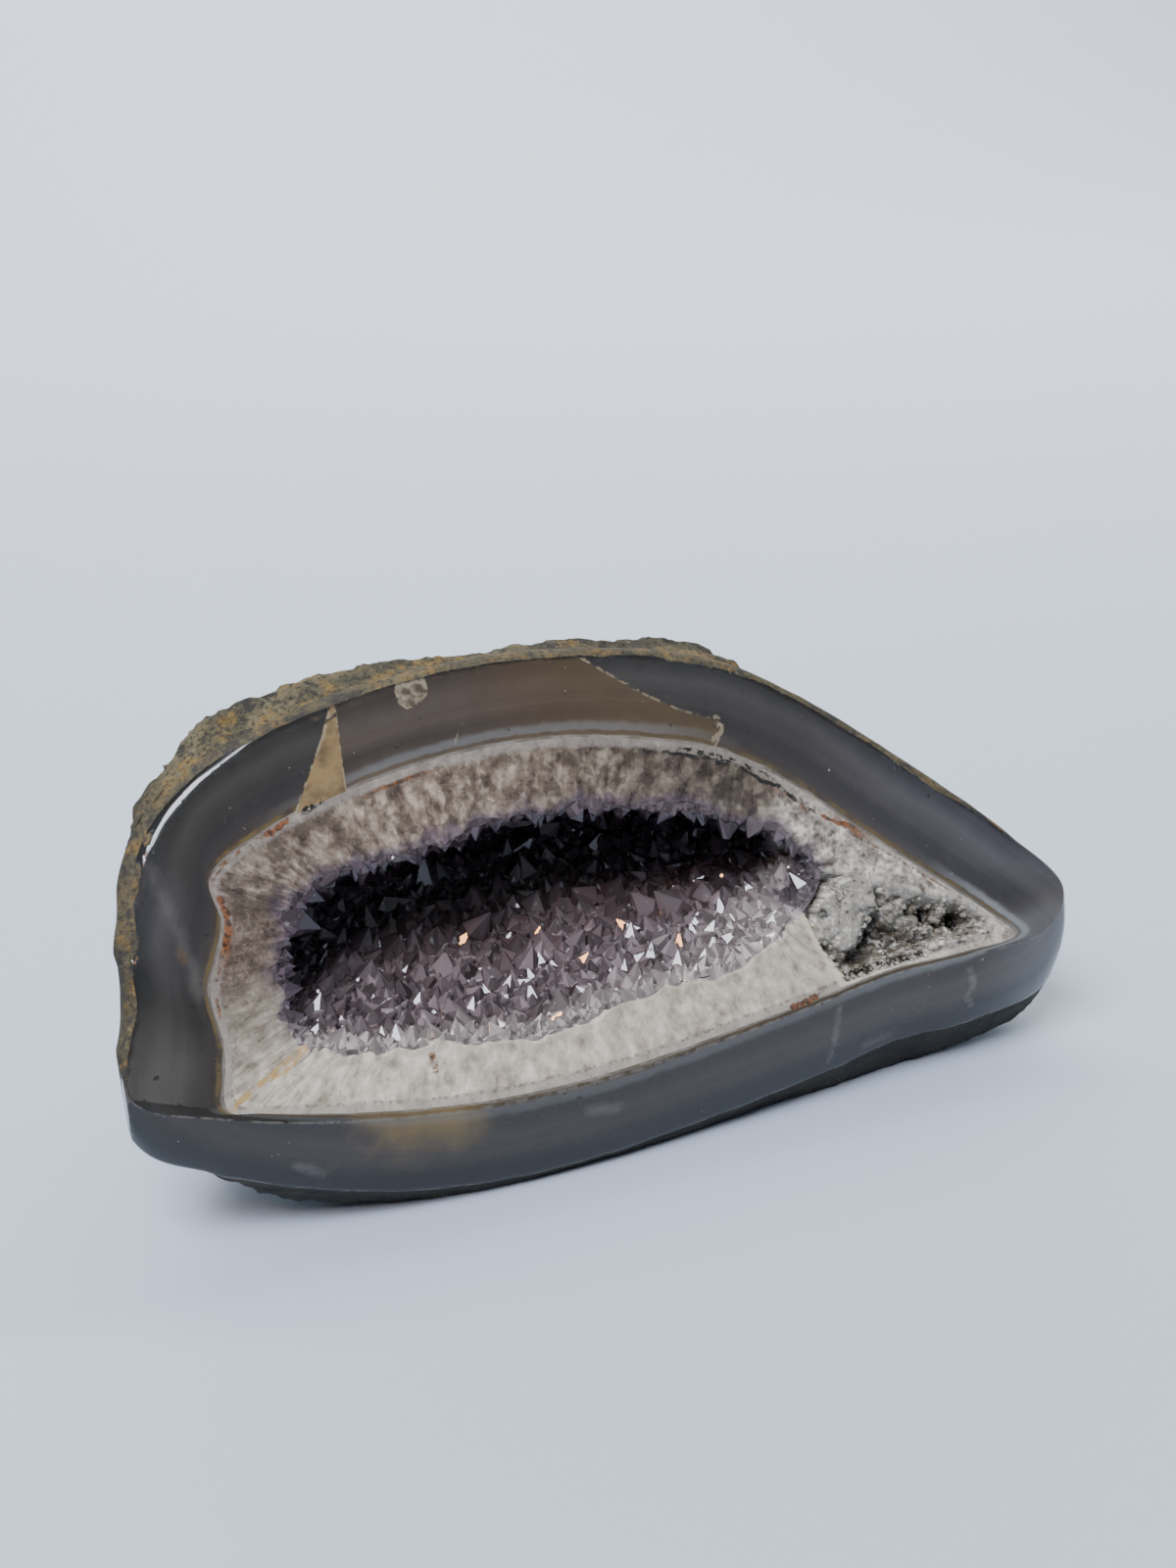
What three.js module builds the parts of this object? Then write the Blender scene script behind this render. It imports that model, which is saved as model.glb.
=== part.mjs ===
// Half of an amethyst geode: a sawn and polished section of agate and quartz in front, natural
// rind behind, and a hollow lined with a crust of quartz points.
// Millimetres, +Z up. The stone stands on the ground with its polished face towards -Y.
import * as THREE from 'three';

// The sawn plane leans back. A place on it is [along, up], and depth runs straight into the stone.
const sawPoint = new THREE.Vector3(0, -56.9, 35);
const sawLean = THREE.MathUtils.degToRad(30);
const alongSaw = new THREE.Vector3(1, 0, 0);
const upSaw = new THREE.Vector3(0, Math.sin(sawLean), Math.cos(sawLean));
const intoStone = new THREE.Vector3(0, Math.cos(sawLean), -Math.sin(sawLean));

// Stations run clockwise round the section from its lower left corner. rim is the edge of the
// polished plane, quartz where the agate ends, and hollow where the quartz ends. face is the
// height of the polished front face below the rim, swell how far the rind stands out behind
// the rim, and full how squarely the rind runs back before it turns in.
const stations = [
  { rim: [-132.5, 15], quartz: [-112, 6], hollow: [-90, 18], face: 6, swell: -2, full: 1.15 },
  { rim: [-129.5, 34], quartz: [-110, 21], hollow: [-94, 28], face: 0, swell: -1, full: 1.25 },
  { rim: [-127, 56], quartz: [-111, 35], hollow: [-92, 39], face: 0, swell: 0, full: 1.3 },
  { rim: [-120, 75], quartz: [-105, 50], hollow: [-88, 49], face: 0, swell: 2, full: 1.3 },
  { rim: [-105, 88], quartz: [-106, 62], hollow: [-82, 55], face: 0, swell: 6, full: 1.35 },
  { rim: [-84, 96], quartz: [-91, 71], hollow: [-72, 57.5], face: 0, swell: 8, full: 1.35 },
  { rim: [-58, 102], quartz: [-67, 78], hollow: [-60, 58], face: 0, swell: 4, full: 1.3 },
  { rim: [-30, 104.5], quartz: [-40, 82], hollow: [-46, 60], face: 0, swell: 3, full: 1.2 },
  { rim: [0, 103], quartz: [-12, 82], hollow: [-31, 63], face: 0, swell: 3, full: 1.15 },
  { rim: [24, 99], quartz: [12, 78], hollow: [-8, 62], face: 0, swell: 4, full: 1.15 },
  { rim: [46, 91], quartz: [35, 71], hollow: [14, 58.5], face: 0, swell: 5, full: 1.15 },
  { rim: [70, 75], quartz: [54, 59], hollow: [36, 52], face: 0, swell: 1, full: 1.1 },
  { rim: [95, 54], quartz: [73, 42], hollow: [50, 44], face: 0, swell: 0, full: 1.1 },
  { rim: [119, 33], quartz: [94, 24], hollow: [57, 36], face: 2, swell: 0, full: 1.15 },
  { rim: [134, 14], quartz: [110, 10], hollow: [54, 29], face: 20, swell: 3, full: 1.3 },
  { rim: [127, 4], quartz: [115, 4], hollow: [48, 24], face: 20, swell: 9, full: 1.6 },
  { rim: [102, 1], quartz: [98, 2.6], hollow: [40, 18], face: 22, swell: 12, full: 2 },
  { rim: [75, 1], quartz: [73, 2.4], hollow: [26, 13], face: 23, swell: 13, full: 2.6 },
  { rim: [48, -2.5], quartz: [46, -1], hollow: [11, 12], face: 24, swell: 11, full: 3 },
  { rim: [16, -6], quartz: [15, -4.5], hollow: [-9, 11], face: 24, swell: 8, full: 3.2 },
  { rim: [-16, -8.5], quartz: [-16, -7], hollow: [-27, 8], face: 24, swell: 7, full: 3.2 },
  { rim: [-48, -8], quartz: [-47, -6.5], hollow: [-46, 9.5], face: 24, swell: 7, full: 3 },
  { rim: [-80, -4], quartz: [-77, -2.5], hollow: [-66, 12], face: 22, swell: 8, full: 2.4 },
  { rim: [-114, 4.5], quartz: [-104, 3.5], hollow: [-83, 15], face: 17, swell: 5, full: 1.7 },
];
const tallestFace = 24;
const rimRound = 2.5;
const rimDepth = 5;
const faceBulge = 1.5;

// Rings of the section between its lines, and of the front face or polished edge below the rim.
const quartzParts = [0, 0.17, 0.34, 0.5, 0.66, 0.83, 1];
const agateParts = [1.5, 2];
const edgeParts = [0.35, 0.7, 1];

// The rind closes on a far point behind the middle of the section.
const middle = sawPoint.clone().add(new THREE.Vector3(0, 20, 17));
const farSide = sawPoint.clone().add(new THREE.Vector3(-4, 115, -5));
const rindSteps = [0.03, 0.07, 0.14, 0.23, 0.33, 0.44, 0.55, 0.66, 0.77, 0.87, 0.94];
const swellStart = 0.06;
const swellReach = 0.7;
const lumpHeight = 3;

// Wave numbers of the lumps, in radians a mm, and the share of the broad ones.
const broad = { x: 0.11, y: 0.12, z: 0.09, bend: 1.7, bendZ: 0.07, share: 0.6 };
const fine = { x: 0.31, y: 0.22, z: 0.29, slant: 0.17, start: 2, share: 0.4 };

// The hollow closes in the same way, nearer.
const mouthMiddle = [-19, 35];
const hollowDepth = new THREE.Vector3(3, 58, -3);
const hollowFull = 2.6;
const hollowSteps = [0.12, 0.26, 0.42, 0.58, 0.73, 0.86, 0.95];
const crustRoom = 4;
const crustGap = 0.4;
const crustBacking = 2.2;

// The broken pocket at the right end of the section.
const pocket = {
  at: [79, 13.5], turn: -0.3, length: 29, width: 12, depth: 9, roughness: 0.3, lumpScale: 2,
};

// Quartz points, six-sided and side by side over the wall of the hollow. A third of the places in
// a triangular net are tips, so the number of places round the hollow divides by 3.
const net = { around: 78, rows: 22, tipEvery: 3, tipHeight: 4.5, unevenness: 0.45, sideways: 0.9 };

const around = 78;
const slopeStep = 0.004;
const wallStep = 0.01;

// Repeatable random numbers from 0 to 1, the same at every build.
const draws = { factor: 16807, range: 2147483647 };
let seed = 7;
function random() {
  seed = (seed * draws.factor) % draws.range;
  return seed / draws.range;
}

function onSaw([along, up]) {
  return sawPoint.clone().addScaledVector(alongSaw, along).addScaledVector(upSaw, up);
}

function closedCurve(list) {
  return new THREE.CatmullRomCurve3(list, true, 'centripetal');
}

const lines = {
  rim: closedCurve(stations.map((s) => new THREE.Vector3(...s.rim, 0))),
  quartz: closedCurve(stations.map((s) => new THREE.Vector3(...s.quartz, 0))),
  hollow: closedCurve(stations.map((s) => new THREE.Vector3(...s.hollow, 0))),
  form: closedCurve(stations.map((s) => new THREE.Vector3(s.face, s.swell, s.full))),
};

function lineAt(name, t) {
  const place = lines[name].getPoint(((t % 1) + 1) % 1);
  return [place.x, place.y];
}

// The direction that leads out of an outline, in the sawn plane.
function outward(name, t) {
  const [ax, ay] = lineAt(name, t - slopeStep);
  const [bx, by] = lineAt(name, t + slopeStep);
  return alongSaw.clone().multiplyScalar(ay - by).addScaledVector(upSaw, bx - ax).normalize();
}

function formAt(t) {
  const form = lines.form.getPoint(t);
  return { face: Math.max(form.x, 0), swell: form.y, full: form.z };
}

// Slow waves that make the rind lumpy, from -1 to 1.
function lumps(p) {
  const bent = p.x * broad.x + broad.bend * Math.sin(p.z * broad.bendZ);
  const large = Math.sin(bent) * Math.cos(p.y * broad.y + p.z * broad.z);
  const small = Math.sin(p.x * fine.x - p.y * fine.y + fine.start)
    * Math.sin(p.z * fine.z + p.y * fine.slant);
  return broad.share * large + fine.share * small;
}

function turnedIn(step, full) {
  return Math.sqrt(1 - Math.pow(step, full));
}

// From the rim (0) down the polished front face, or round the polished edge (1).
function edgePoint(t, part) {
  const { face } = formAt(t);
  const share = face / tallestFace;
  const out = outward('rim', t);
  const level = new THREE.Vector3(out.x, out.y, 0).normalize();
  const angle = part * Math.PI / 2;
  return onSaw(lineAt('rim', t))
    .add(new THREE.Vector3(0, 0, -face * part))
    .addScaledVector(level, faceBulge * Math.sin(part * Math.PI) * share)
    .addScaledVector(out, rimRound * Math.sin(angle) * (1 - share))
    .addScaledVector(intoStone, rimDepth * (1 - Math.cos(angle)) * (1 - share));
}

// The rind, from the polished edge (0) to the far point (1). The ground cuts it off flat.
function rindPoint(t, step) {
  const { face, swell, full } = formAt(t);
  const edge = edgePoint(t, 1);
  const out = outward('rim', t);
  const place = middle.clone().lerp(farSide, step)
    .addScaledVector(edge.sub(middle), turnedIn(step, full));
  const start = Math.min(step / swellStart, 1);
  const raised = swell * start * Math.max(1 - step / swellReach, 0);
  out.lerp(new THREE.Vector3(0, 0, -1), face / tallestFace);
  place.addScaledVector(out, raised + lumpHeight * lumps(place) * start);
  place.z = Math.max(place.z, 0);
  return place;
}

// The wall of the hollow, from the sawn plane (0) to its deepest point (1), grown by a few mm.
function hollowPoint(t, step, grow) {
  const mouth = onSaw(lineAt('hollow', t)).addScaledVector(outward('hollow', t), grow);
  const centre = onSaw(mouthMiddle);
  const depth = hollowDepth.clone().setLength(hollowDepth.length() + grow);
  return centre.clone().addScaledVector(depth, step)
    .addScaledVector(mouth.sub(centre), turnedIn(step, hollowFull));
}

// The polished section between the hollow (0), the quartz (1) and the rim (2).
function sectionPoint(t, part) {
  const [from, to] = part < 1 ? ['hollow', 'quartz'] : ['quartz', 'rim'];
  const share = part < 1 ? part : part - 1;
  const a = onSaw(lineAt(from, t));
  if (from === 'hollow') a.addScaledVector(outward('hollow', t), crustRoom * (1 - share));
  return a.lerp(onSaw(lineAt(to, t)), share);
}

// Sinks the broken pocket into the section.
function pocketed(place) {
  const flat = place.clone().sub(sawPoint);
  const x = flat.dot(alongSaw) - pocket.at[0];
  const y = flat.dot(upSaw) - pocket.at[1];
  const along = (x * Math.cos(pocket.turn) + y * Math.sin(pocket.turn)) / pocket.length;
  const across = (-x * Math.sin(pocket.turn) + y * Math.cos(pocket.turn)) / pocket.width;
  const away = along * along + across * across;
  const rough = 1 + pocket.roughness * lumps(place.clone().multiplyScalar(pocket.lumpScale));
  return place.addScaledVector(intoStone, pocket.depth * Math.max(1 - away * away, 0) * rough);
}

function ring(make, count = around) {
  return Array.from({ length: count }, (_, i) => make(i / count, i));
}

// A closed skin over a row of rings, with a point at each end.
function skin(first, rings, last) {
  const places = [first, ...rings.flat(), last];
  const faces = [];
  const count = rings[0].length;
  const at = (r, i) => 1 + r * count + (i % count);
  for (let i = 0; i < count; i += 1) {
    faces.push(0, at(0, i + 1), at(0, i));
    for (let r = 0; r + 1 < rings.length; r += 1) {
      faces.push(at(r, i), at(r, i + 1), at(r + 1, i + 1));
      faces.push(at(r, i), at(r + 1, i + 1), at(r + 1, i));
    }
    faces.push(places.length - 1, at(rings.length - 1, i), at(rings.length - 1, i + 1));
  }
  const geometry = new THREE.BufferGeometry().setFromPoints(places);
  geometry.setIndex(faces);
  return geometry;
}

function makeShell() {
  const rings = [
    ...[...hollowSteps].reverse().map((step) => ring((t) => hollowPoint(t, step, crustRoom))),
    ...quartzParts.map((part) => ring((t) => pocketed(sectionPoint(t, part)))),
    ...agateParts.map((part) => ring((t) => sectionPoint(t, part))),
    ...edgeParts.map((part) => ring((t) => edgePoint(t, part))),
    ...rindSteps.map((step) => ring((t) => rindPoint(t, step))),
  ];
  return skin(deepest(crustRoom), rings, farSide.clone());
}

function deepest(grow) {
  return onSaw(mouthMiddle).add(hollowDepth.clone().setLength(hollowDepth.length() + grow));
}

// The direction that leads from the wall of the hollow to the space inside it.
function inward(t, step, grow) {
  const here = hollowPoint(t, step, grow);
  const beside = hollowPoint(t + wallStep, step, grow).sub(here);
  const beyond = hollowPoint(t, Math.min(step + wallStep, 1), grow).sub(here);
  return beyond.cross(beside).normalize();
}

// Keeps a place behind the sawn plane, or on it for the row that the saw has cut.
function behindSaw(place, sawn) {
  const depth = place.clone().sub(sawPoint).dot(intoStone);
  return sawn || depth < 0 ? place.addScaledVector(intoStone, -depth) : place;
}

// One place in the net of quartz points: a tip, or a corner where six faces meet the next six.
function netPlace(row, i, grow) {
  const t = (i + row / 2) / net.around;
  const step = Math.sin(row / net.rows * Math.PI / 2);
  const out = inward(t, step, grow);
  const isTip = (i - row + net.around) % net.tipEvery === 0;
  const height = isTip ? net.tipHeight * (1 + net.unevenness * (2 * random() - 1)) : 0;
  const slip = new THREE.Vector3(random() - 0.5, random() - 0.5, random() - 0.5);
  const place = hollowPoint(t, step, grow).addScaledVector(out, height);
  return behindSaw(place.addScaledVector(slip, row > 0 ? net.sideways : 0), row === 0);
}

function makeCrust() {
  const behind = crustRoom - crustGap;
  const front = behind - crustBacking;
  const rows = Array.from({ length: net.rows }, (_, row) => net.rows - 1 - row);
  const rings = [
    ...rows.map((row) => ring((_, i) => netPlace(row, i, front), net.around)),
    ...[0, ...hollowSteps].map((step) => ring((t) => hollowPoint(t, step, behind), net.around)),
  ];
  return skin(deepest(front), rings, deepest(behind));
}

function named(name, geometry, finish) {
  const mesh = new THREE.Mesh(geometry, new THREE.MeshStandardMaterial(finish));
  mesh.name = name;
  return mesh;
}

const geode = new THREE.Group();
geode.add(named('geode_shell', makeShell(), { color: 0x5f6166, roughness: 0.35, metalness: 0 }));
geode.add(named('crystal_crust', makeCrust(), { color: 0x82727c, roughness: 0.2, metalness: 0 }));

export default geode;
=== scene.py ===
import math
import bpy
import numpy as np
from mathutils import Matrix, Vector


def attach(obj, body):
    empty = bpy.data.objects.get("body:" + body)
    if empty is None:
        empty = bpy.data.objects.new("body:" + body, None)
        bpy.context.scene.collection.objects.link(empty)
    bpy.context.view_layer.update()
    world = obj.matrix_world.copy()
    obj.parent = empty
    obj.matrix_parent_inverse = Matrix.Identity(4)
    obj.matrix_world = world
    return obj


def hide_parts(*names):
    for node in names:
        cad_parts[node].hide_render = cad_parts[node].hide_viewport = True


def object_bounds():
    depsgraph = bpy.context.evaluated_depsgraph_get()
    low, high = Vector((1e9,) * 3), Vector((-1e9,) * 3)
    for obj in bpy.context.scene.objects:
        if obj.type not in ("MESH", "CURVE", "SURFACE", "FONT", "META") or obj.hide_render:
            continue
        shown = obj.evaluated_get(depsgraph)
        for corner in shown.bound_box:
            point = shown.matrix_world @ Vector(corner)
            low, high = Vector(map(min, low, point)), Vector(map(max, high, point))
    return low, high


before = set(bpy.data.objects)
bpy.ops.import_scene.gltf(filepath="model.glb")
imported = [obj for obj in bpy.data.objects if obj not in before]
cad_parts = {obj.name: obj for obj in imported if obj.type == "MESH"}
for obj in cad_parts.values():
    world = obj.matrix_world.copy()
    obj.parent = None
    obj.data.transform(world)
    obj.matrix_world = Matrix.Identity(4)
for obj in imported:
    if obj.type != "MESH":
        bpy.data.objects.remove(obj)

# Half of an amethyst geode: polished agate and quartz in front, rough rind behind,
# a hollow lined with quartz points. Sizes are millimetres until a mesh is written.
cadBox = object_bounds()
mm = 0.001
rng = np.random.default_rng(41)

saw = {"point": (0, -56.9, 35), "lean": 30}  # the sawn plane and how far it leans back, in degrees
lean = math.radians(saw["lean"])
sawPoint = np.array(saw["point"], float)
alongSaw = np.array((1.0, 0.0, 0.0))
upSaw = np.array((0.0, math.sin(lean), math.cos(lean)))
intoStone = np.array((0.0, math.cos(lean), -math.sin(lean)))

# Stations run clockwise round the section from its lower left corner, each in mm on the sawn
# plane: rim (x, y), agate-to-quartz line (x, y), hollow (x, y), then height of the front face,
# how far the rind stands out, how squarely it runs back, how wide the broken rind shows
# along the rim, how far the polish rounds the rim over, and the station of the hollow's line
# at which the quartz columns from there end.
stations = [
    ((-134.2, 13.8), (-112, 6), (-90, 18), (9, -3, 1.15, 0.5, 0.2, 0)),
    ((-130, 34), (-110, 21), (-94, 28), (-7, -3, 1.2, 0.9, 0.5, 0.8)),
    ((-127, 56), (-111, 35), (-92, 39), (-1, -2, 1.25, 1.9, 0.5, 1.9)),
    ((-120, 75), (-105, 50), (-88, 49), (0, 1, 1.3, 1.2, 1.9, 2.7)),
    ((-105, 88), (-106, 62), (-82, 55), (0, 6, 1.35, 0.3, 1.5, 3.3)),
    ((-84, 96), (-91, 71), (-72, 57.5), (0, 8, 1.35, 0.3, 0, 4.2)),
    ((-58, 102), (-67, 78), (-60, 58), (0, 4, 1.3, 0.6, 0.4, 5.8)),
    ((-30, 104.5), (-40, 82), (-46, 60), (0, 3, 1.2, 0.5, 0.3, 7.4)),
    ((0, 103), (-12, 82), (-31, 63), (0, 3, 1.15, 0.8, 0.3, 8.7)),
    ((24, 99), (12, 78), (-8, 62), (0, 4, 1.15, 0.7, 0.3, 9.6)),
    ((46, 91), (35, 71), (14, 58.5), (0, 5, 1.15, 0.5, 0.4, 10.6)),
    ((70, 75), (54, 59), (36, 52), (0, 1, 1.1, 0.5, 0.5, 11.6)),
    ((95, 54), (73, 42), (50, 44), (0, 0, 1.1, 0.8, 0.5, 12.9)),
    ((119, 33), (94, 24), (57, 36), (2, 0, 1.15, 0.7, 0.4, 13.5)),
    ((134, 14), (110, 10), (54, 29), (20, 3, 1.3, 0, 0, 13.9)),
    ((127, 4), (115, 4), (48, 24), (20, 9, 1.6, 0, 0, 14.3)),
    ((102, 1), (98, 2.6), (40, 18), (22, 12, 2, 0, 0, 14.7)),
    ((75, 1), (73, 2.4), (26, 13), (23, 13, 2.6, 0, 0, 15.2)),
    ((48, -2.5), (46, -1), (11, 12), (24, 11, 3, 0, 0, 16)),
    ((16, -6), (15, -4.5), (-9, 11), (24, 8, 3.2, 0, 0, 17.9)),
    ((-16, -8.5), (-16, -7), (-27, 8), (24, 7, 3.2, 0, 0, 19.5)),
    ((-48, -8), (-47, -6.5), (-46, 9.5), (24, 7, 3, 0, 0, 21)),
    ((-80, -4), (-77, -2.5), (-66, 12), (22, 8, 2.4, 0, 0, 22.3)),
    ((-114, 4.5), (-104, 3.5), (-83, 15), (17, 5, 1.7, 0, 0, 23.3)),
]
lines = {name: np.array([s[k] for s in stations], float)
         for k, name in enumerate(("rim", "quartz", "hollow", "form"))}
shoulderWidth = 3.6  # how far in from the rim the rounding begins

body = {
    "tallestFace": 24, "rimRound": 2.5, "rimDepth": 5, "faceBulge": 1.5,
    "middle": sawPoint + (0, 20, 17), "farSide": sawPoint + (-4, 115, -5),
    "swellStart": 0.06, "swellReach": 0.7, "lumpHeight": 3, "shelves": 2.4, "ledgeHeight": 0.8,
    "mouthMiddle": (-19, 35), "hollowDepth": np.array((3.0, 58, -3)), "hollowFull": 2.6,
    "wornBelow": 0.03,  # metres above the floor, where the relief of the rind begins to fade
    "around": 450, "quartzRings": 58, "agateRings": 15, "edgeRings": 16, "rindRings": 110,
    "rindBunching": 1.25,  # how much closer the rings of the rind stand near the edge
}
pocket = {"depth": 9, "slopeWidth": 6, "points": 300, "radius": (0.4, 1.3)}


def deselectAll():
    bpy.ops.object.select_all(action="DESELECT")


def closedLine(points, turns):
    # the smooth closed line through the points, at each turn from 0 to 1
    count = len(points)
    place = (np.asarray(turns) % 1.0) * count
    first = np.floor(place).astype(int)
    share = (place - first)[:, None]
    a, b, c, d = (points[(first + k) % count] for k in (-1, 0, 1, 2))
    ab, bc, cd = (np.sqrt(np.maximum(np.linalg.norm(q - p, axis=1), 1e-6))[:, None]
                  for p, q in ((a, b), (b, c), (c, d)))
    leave = ((b - a) / ab - (c - a) / (ab + bc) + (c - b) / bc) * bc
    arrive = ((c - b) / bc - (d - b) / (bc + cd) + (d - c) / cd) * bc
    square = -3 * b + 3 * c - 2 * leave - arrive
    cube = 2 * b - 2 * c + leave + arrive
    return b + share * (leave + share * (square + share * cube))


def unit(way):
    # one direction, or a row of them, each made 1 long
    return way / (np.linalg.norm(way) if way.ndim == 1 else np.linalg.norm(way, axis=1)[:, None])


def onSaw(flat):
    flat = np.atleast_2d(flat)
    return sawPoint + flat[:, :1] * alongSaw + flat[:, 1:2] * upSaw


def sawLine(name, turns):
    return onSaw(closedLine(lines[name], turns))


def outward(name, turns):
    ahead = closedLine(lines[name], turns + 0.004) - closedLine(lines[name], turns - 0.004)
    return unit(-ahead[:, 1:2] * alongSaw + ahead[:, :1] * upSaw)


def waves(p):
    # broad and fine waves through the whole stone, each from -1 to 1
    x, y, z = p.T
    broad = np.sin(x * 0.11 + 1.7 * np.sin(z * 0.07)) * np.cos(y * 0.12 + z * 0.09)
    fine = np.sin(x * 0.31 - y * 0.22 + 2) * np.sin(z * 0.29 + y * 0.17)
    return broad[:, None], fine[:, None]


def lumps(p):
    broad, fine = waves(p)
    return 0.6 * broad + 0.4 * fine


def wobble(turns, waves, seed):
    # a smooth closed wave of that many random bumps, from -1 to 1
    draws = np.random.default_rng(seed).uniform(-1, 1, (waves, 1))
    return closedLine(draws, turns)


def patches(turns, across, cells, seed):
    # smooth random patches on a sheet that joins up round the stone, from -1 to 1
    wide, tall = cells
    draws = np.random.default_rng(seed).uniform(-1, 1, (wide, tall + 2))
    x, y = (np.asarray(turns) % 1.0) * wide, np.clip(across, 0, 1) * tall
    i, j = np.floor(x).astype(int), np.floor(y).astype(int)
    u, v = ((t - k) ** 2 * (3 - 2 * (t - k)) for t, k in ((x, i), (y, j)))
    low = draws[i % wide, j] * (1 - u) + draws[(i + 1) % wide, j] * u
    high = draws[i % wide, j + 1] * (1 - u) + draws[(i + 1) % wide, j + 1] * u
    return (low * (1 - v) + high * v)[:, None]


def formAt(turns):
    face, swell, full, strip, shoulder, _ = closedLine(lines["form"], turns).T[:, :, None]
    return np.maximum(face, 0), swell, full, np.maximum(strip, 0), np.maximum(shoulder, 0)


def columnEnds(turns):
    # where on the hollow's line the quartz columns from each turn of the section end
    stops = np.append(lines["form"][:, -1], len(stations)) / len(stations)
    return np.interp(turns, np.linspace(0, 1, len(stops)), stops)


def tornDepth(turns, strip):
    # how far the broken rind lies below the polish, and how ragged it is there
    ragged = 0.55 * wobble(turns, 130, 5) + 0.45 * wobble(turns, 60, 6)
    return np.minimum(strip, 3) * 0.35 * (1 + ragged), ragged


def broken(turns, inward):
    # how far a point near the rim lies in the strip of broken rind, from 0 to 1
    strip = formAt(turns)[3] * (1 + 0.45 * wobble(turns, 110, 21) + 0.3 * wobble(turns, 37, 22))
    return np.clip((strip - inward) / 0.7 + 0.5, 0, 1) * np.minimum(strip, 1)


def edgeRing(turns, part):
    face, _, _, strip, shoulder = formAt(turns)
    share = face / body["tallestFace"]
    out = outward("rim", turns)
    level = unit(out * (1, 1, 0))
    angle = part * math.pi / 2
    chips = (0.3 * wobble(turns, 150, 3) + 0.3 * wobble(turns, 48, 4)) * part ** 3
    torn, ragged = tornDepth(turns, strip)
    slope = 2 * shoulder / shoulderWidth * body["rimRound"]
    sunk = shoulder + slope * math.sin(angle)
    sunk = sunk + (body["rimDepth"] - sunk) * (1 - math.cos(angle))
    sunk = sunk + torn * math.cos(angle)
    return (sawLine("rim", turns) + (0, 0, -1) * (face + chips) * part
            + level * body["faceBulge"] * math.sin(part * math.pi) * share
            + out * (body["rimRound"] * math.sin(angle) + 0.4 * np.minimum(strip, 3) * ragged) * (1 - share)
            + intoStone * (sunk + 2 * chips * (1 - share)) * (1 - share))


def rindRing(turns, step):
    face, swell, full, _, _ = formAt(turns)
    edge = edgeRing(turns, 1)
    place = (body["middle"] * (1 - step) + body["farSide"] * step
             + (edge - body["middle"]) * np.sqrt(1 - step ** full))
    start = min(step / body["swellStart"], 1)
    raised = swell * start * max(1 - step / body["swellReach"], 0)
    share = face / body["tallestFace"]
    out = outward("rim", turns) * (1 - share) + np.array((0, 0, -1)) * share
    # ledges that run along the rind, each breaking off at a ragged edge
    shelf = patches(turns, step, (13, 30), 31) * body["shelves"] + patches(turns, step, (90, 70), 32) * 0.5
    calm = 1 - 0.55 * np.minimum(formAt(turns)[3] / 1.5, 1)
    ledge = (np.abs(shelf - np.floor(shelf) - 0.5) * 2 - 0.5) * body["ledgeHeight"]
    ledge = ledge * start * (1 - 0.9 * share) * calm
    uneven = 0.55 * waves(place)[0] + 0.3 * patches(turns, step, (34, 16), 33) + 0.12 * lumps(place)
    return place + out * (raised + ledge + body["lumpHeight"] * uneven * start * calm * (1 - 0.3 * share))


def hollowRing(turns, step, grow):
    step = np.reshape(step, (-1, 1))
    mouth = sawLine("hollow", turns) + outward("hollow", turns) * grow
    centre = onSaw(body["mouthMiddle"])
    length = np.linalg.norm(body["hollowDepth"])
    depth = body["hollowDepth"] * ((length + np.mean(grow)) / length)
    return centre + depth * step + (mouth - centre) * np.sqrt(1 - step ** body["hollowFull"])


def sectionRing(turns, part, grow):
    a, b = ("hollow", "quartz") if part < 1 else ("quartz", "rim")
    share = part if part < 1 else part - 1
    place = columnEnds(turns) if part < 1 else turns
    start = sawLine(a, place)
    if part < 1:
        start = start + outward("hollow", place) * grow * (1 - share)
    end = sawLine(b, turns)
    place = start * (1 - share) + end * share
    if part < 1:
        return place
    face, _, _, strip, shoulder = formAt(turns)
    inward = np.linalg.norm(end - place, axis=1)[:, None]
    rounded = shoulder * np.maximum(1 - inward / shoulderWidth, 0) ** 2
    rough = tornDepth(turns, strip)[0] * broken(turns, inward)
    return place + intoStone * (rounded + rough) * (1 - face / body["tallestFace"])


def flatPlace(p):
    # where a place lies on the sawn plane
    away = p - sawPoint
    return np.stack((away @ alongSaw, away @ upSaw), axis=1)


def lineDistance(p, places):
    # how far each point is from a line through the places, in mm
    places = np.asarray(places, float)
    best = np.full(len(p), 1e9)
    for a, b in zip(places[:-1], places[1:]):
        along = b - a
        share = np.clip((p - a) @ along / max(along @ along, 1e-9), 0, 1)
        best = np.minimum(best, np.linalg.norm(p - a - share[:, None] * along, axis=1))
    return best


def areaDistance(p, corners):
    # distance from the edge of an area on the sawn plane, below 0 inside it
    corners = np.asarray(corners, float)
    inside = np.zeros(len(p), bool)
    for a, b in zip(corners, np.roll(corners, -1, axis=0)):
        crosses = (a[1] > p[:, 1]) != (b[1] > p[:, 1])
        with np.errstate(divide="ignore", invalid="ignore"):
            at = a[0] + (p[:, 1] - a[1]) * (b[0] - a[0]) / (b[1] - a[1])
        inside ^= crosses & (p[:, 0] < at)
    return lineDistance(p, np.vstack((corners, corners[:1]))) * np.where(inside, -1, 1)


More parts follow.
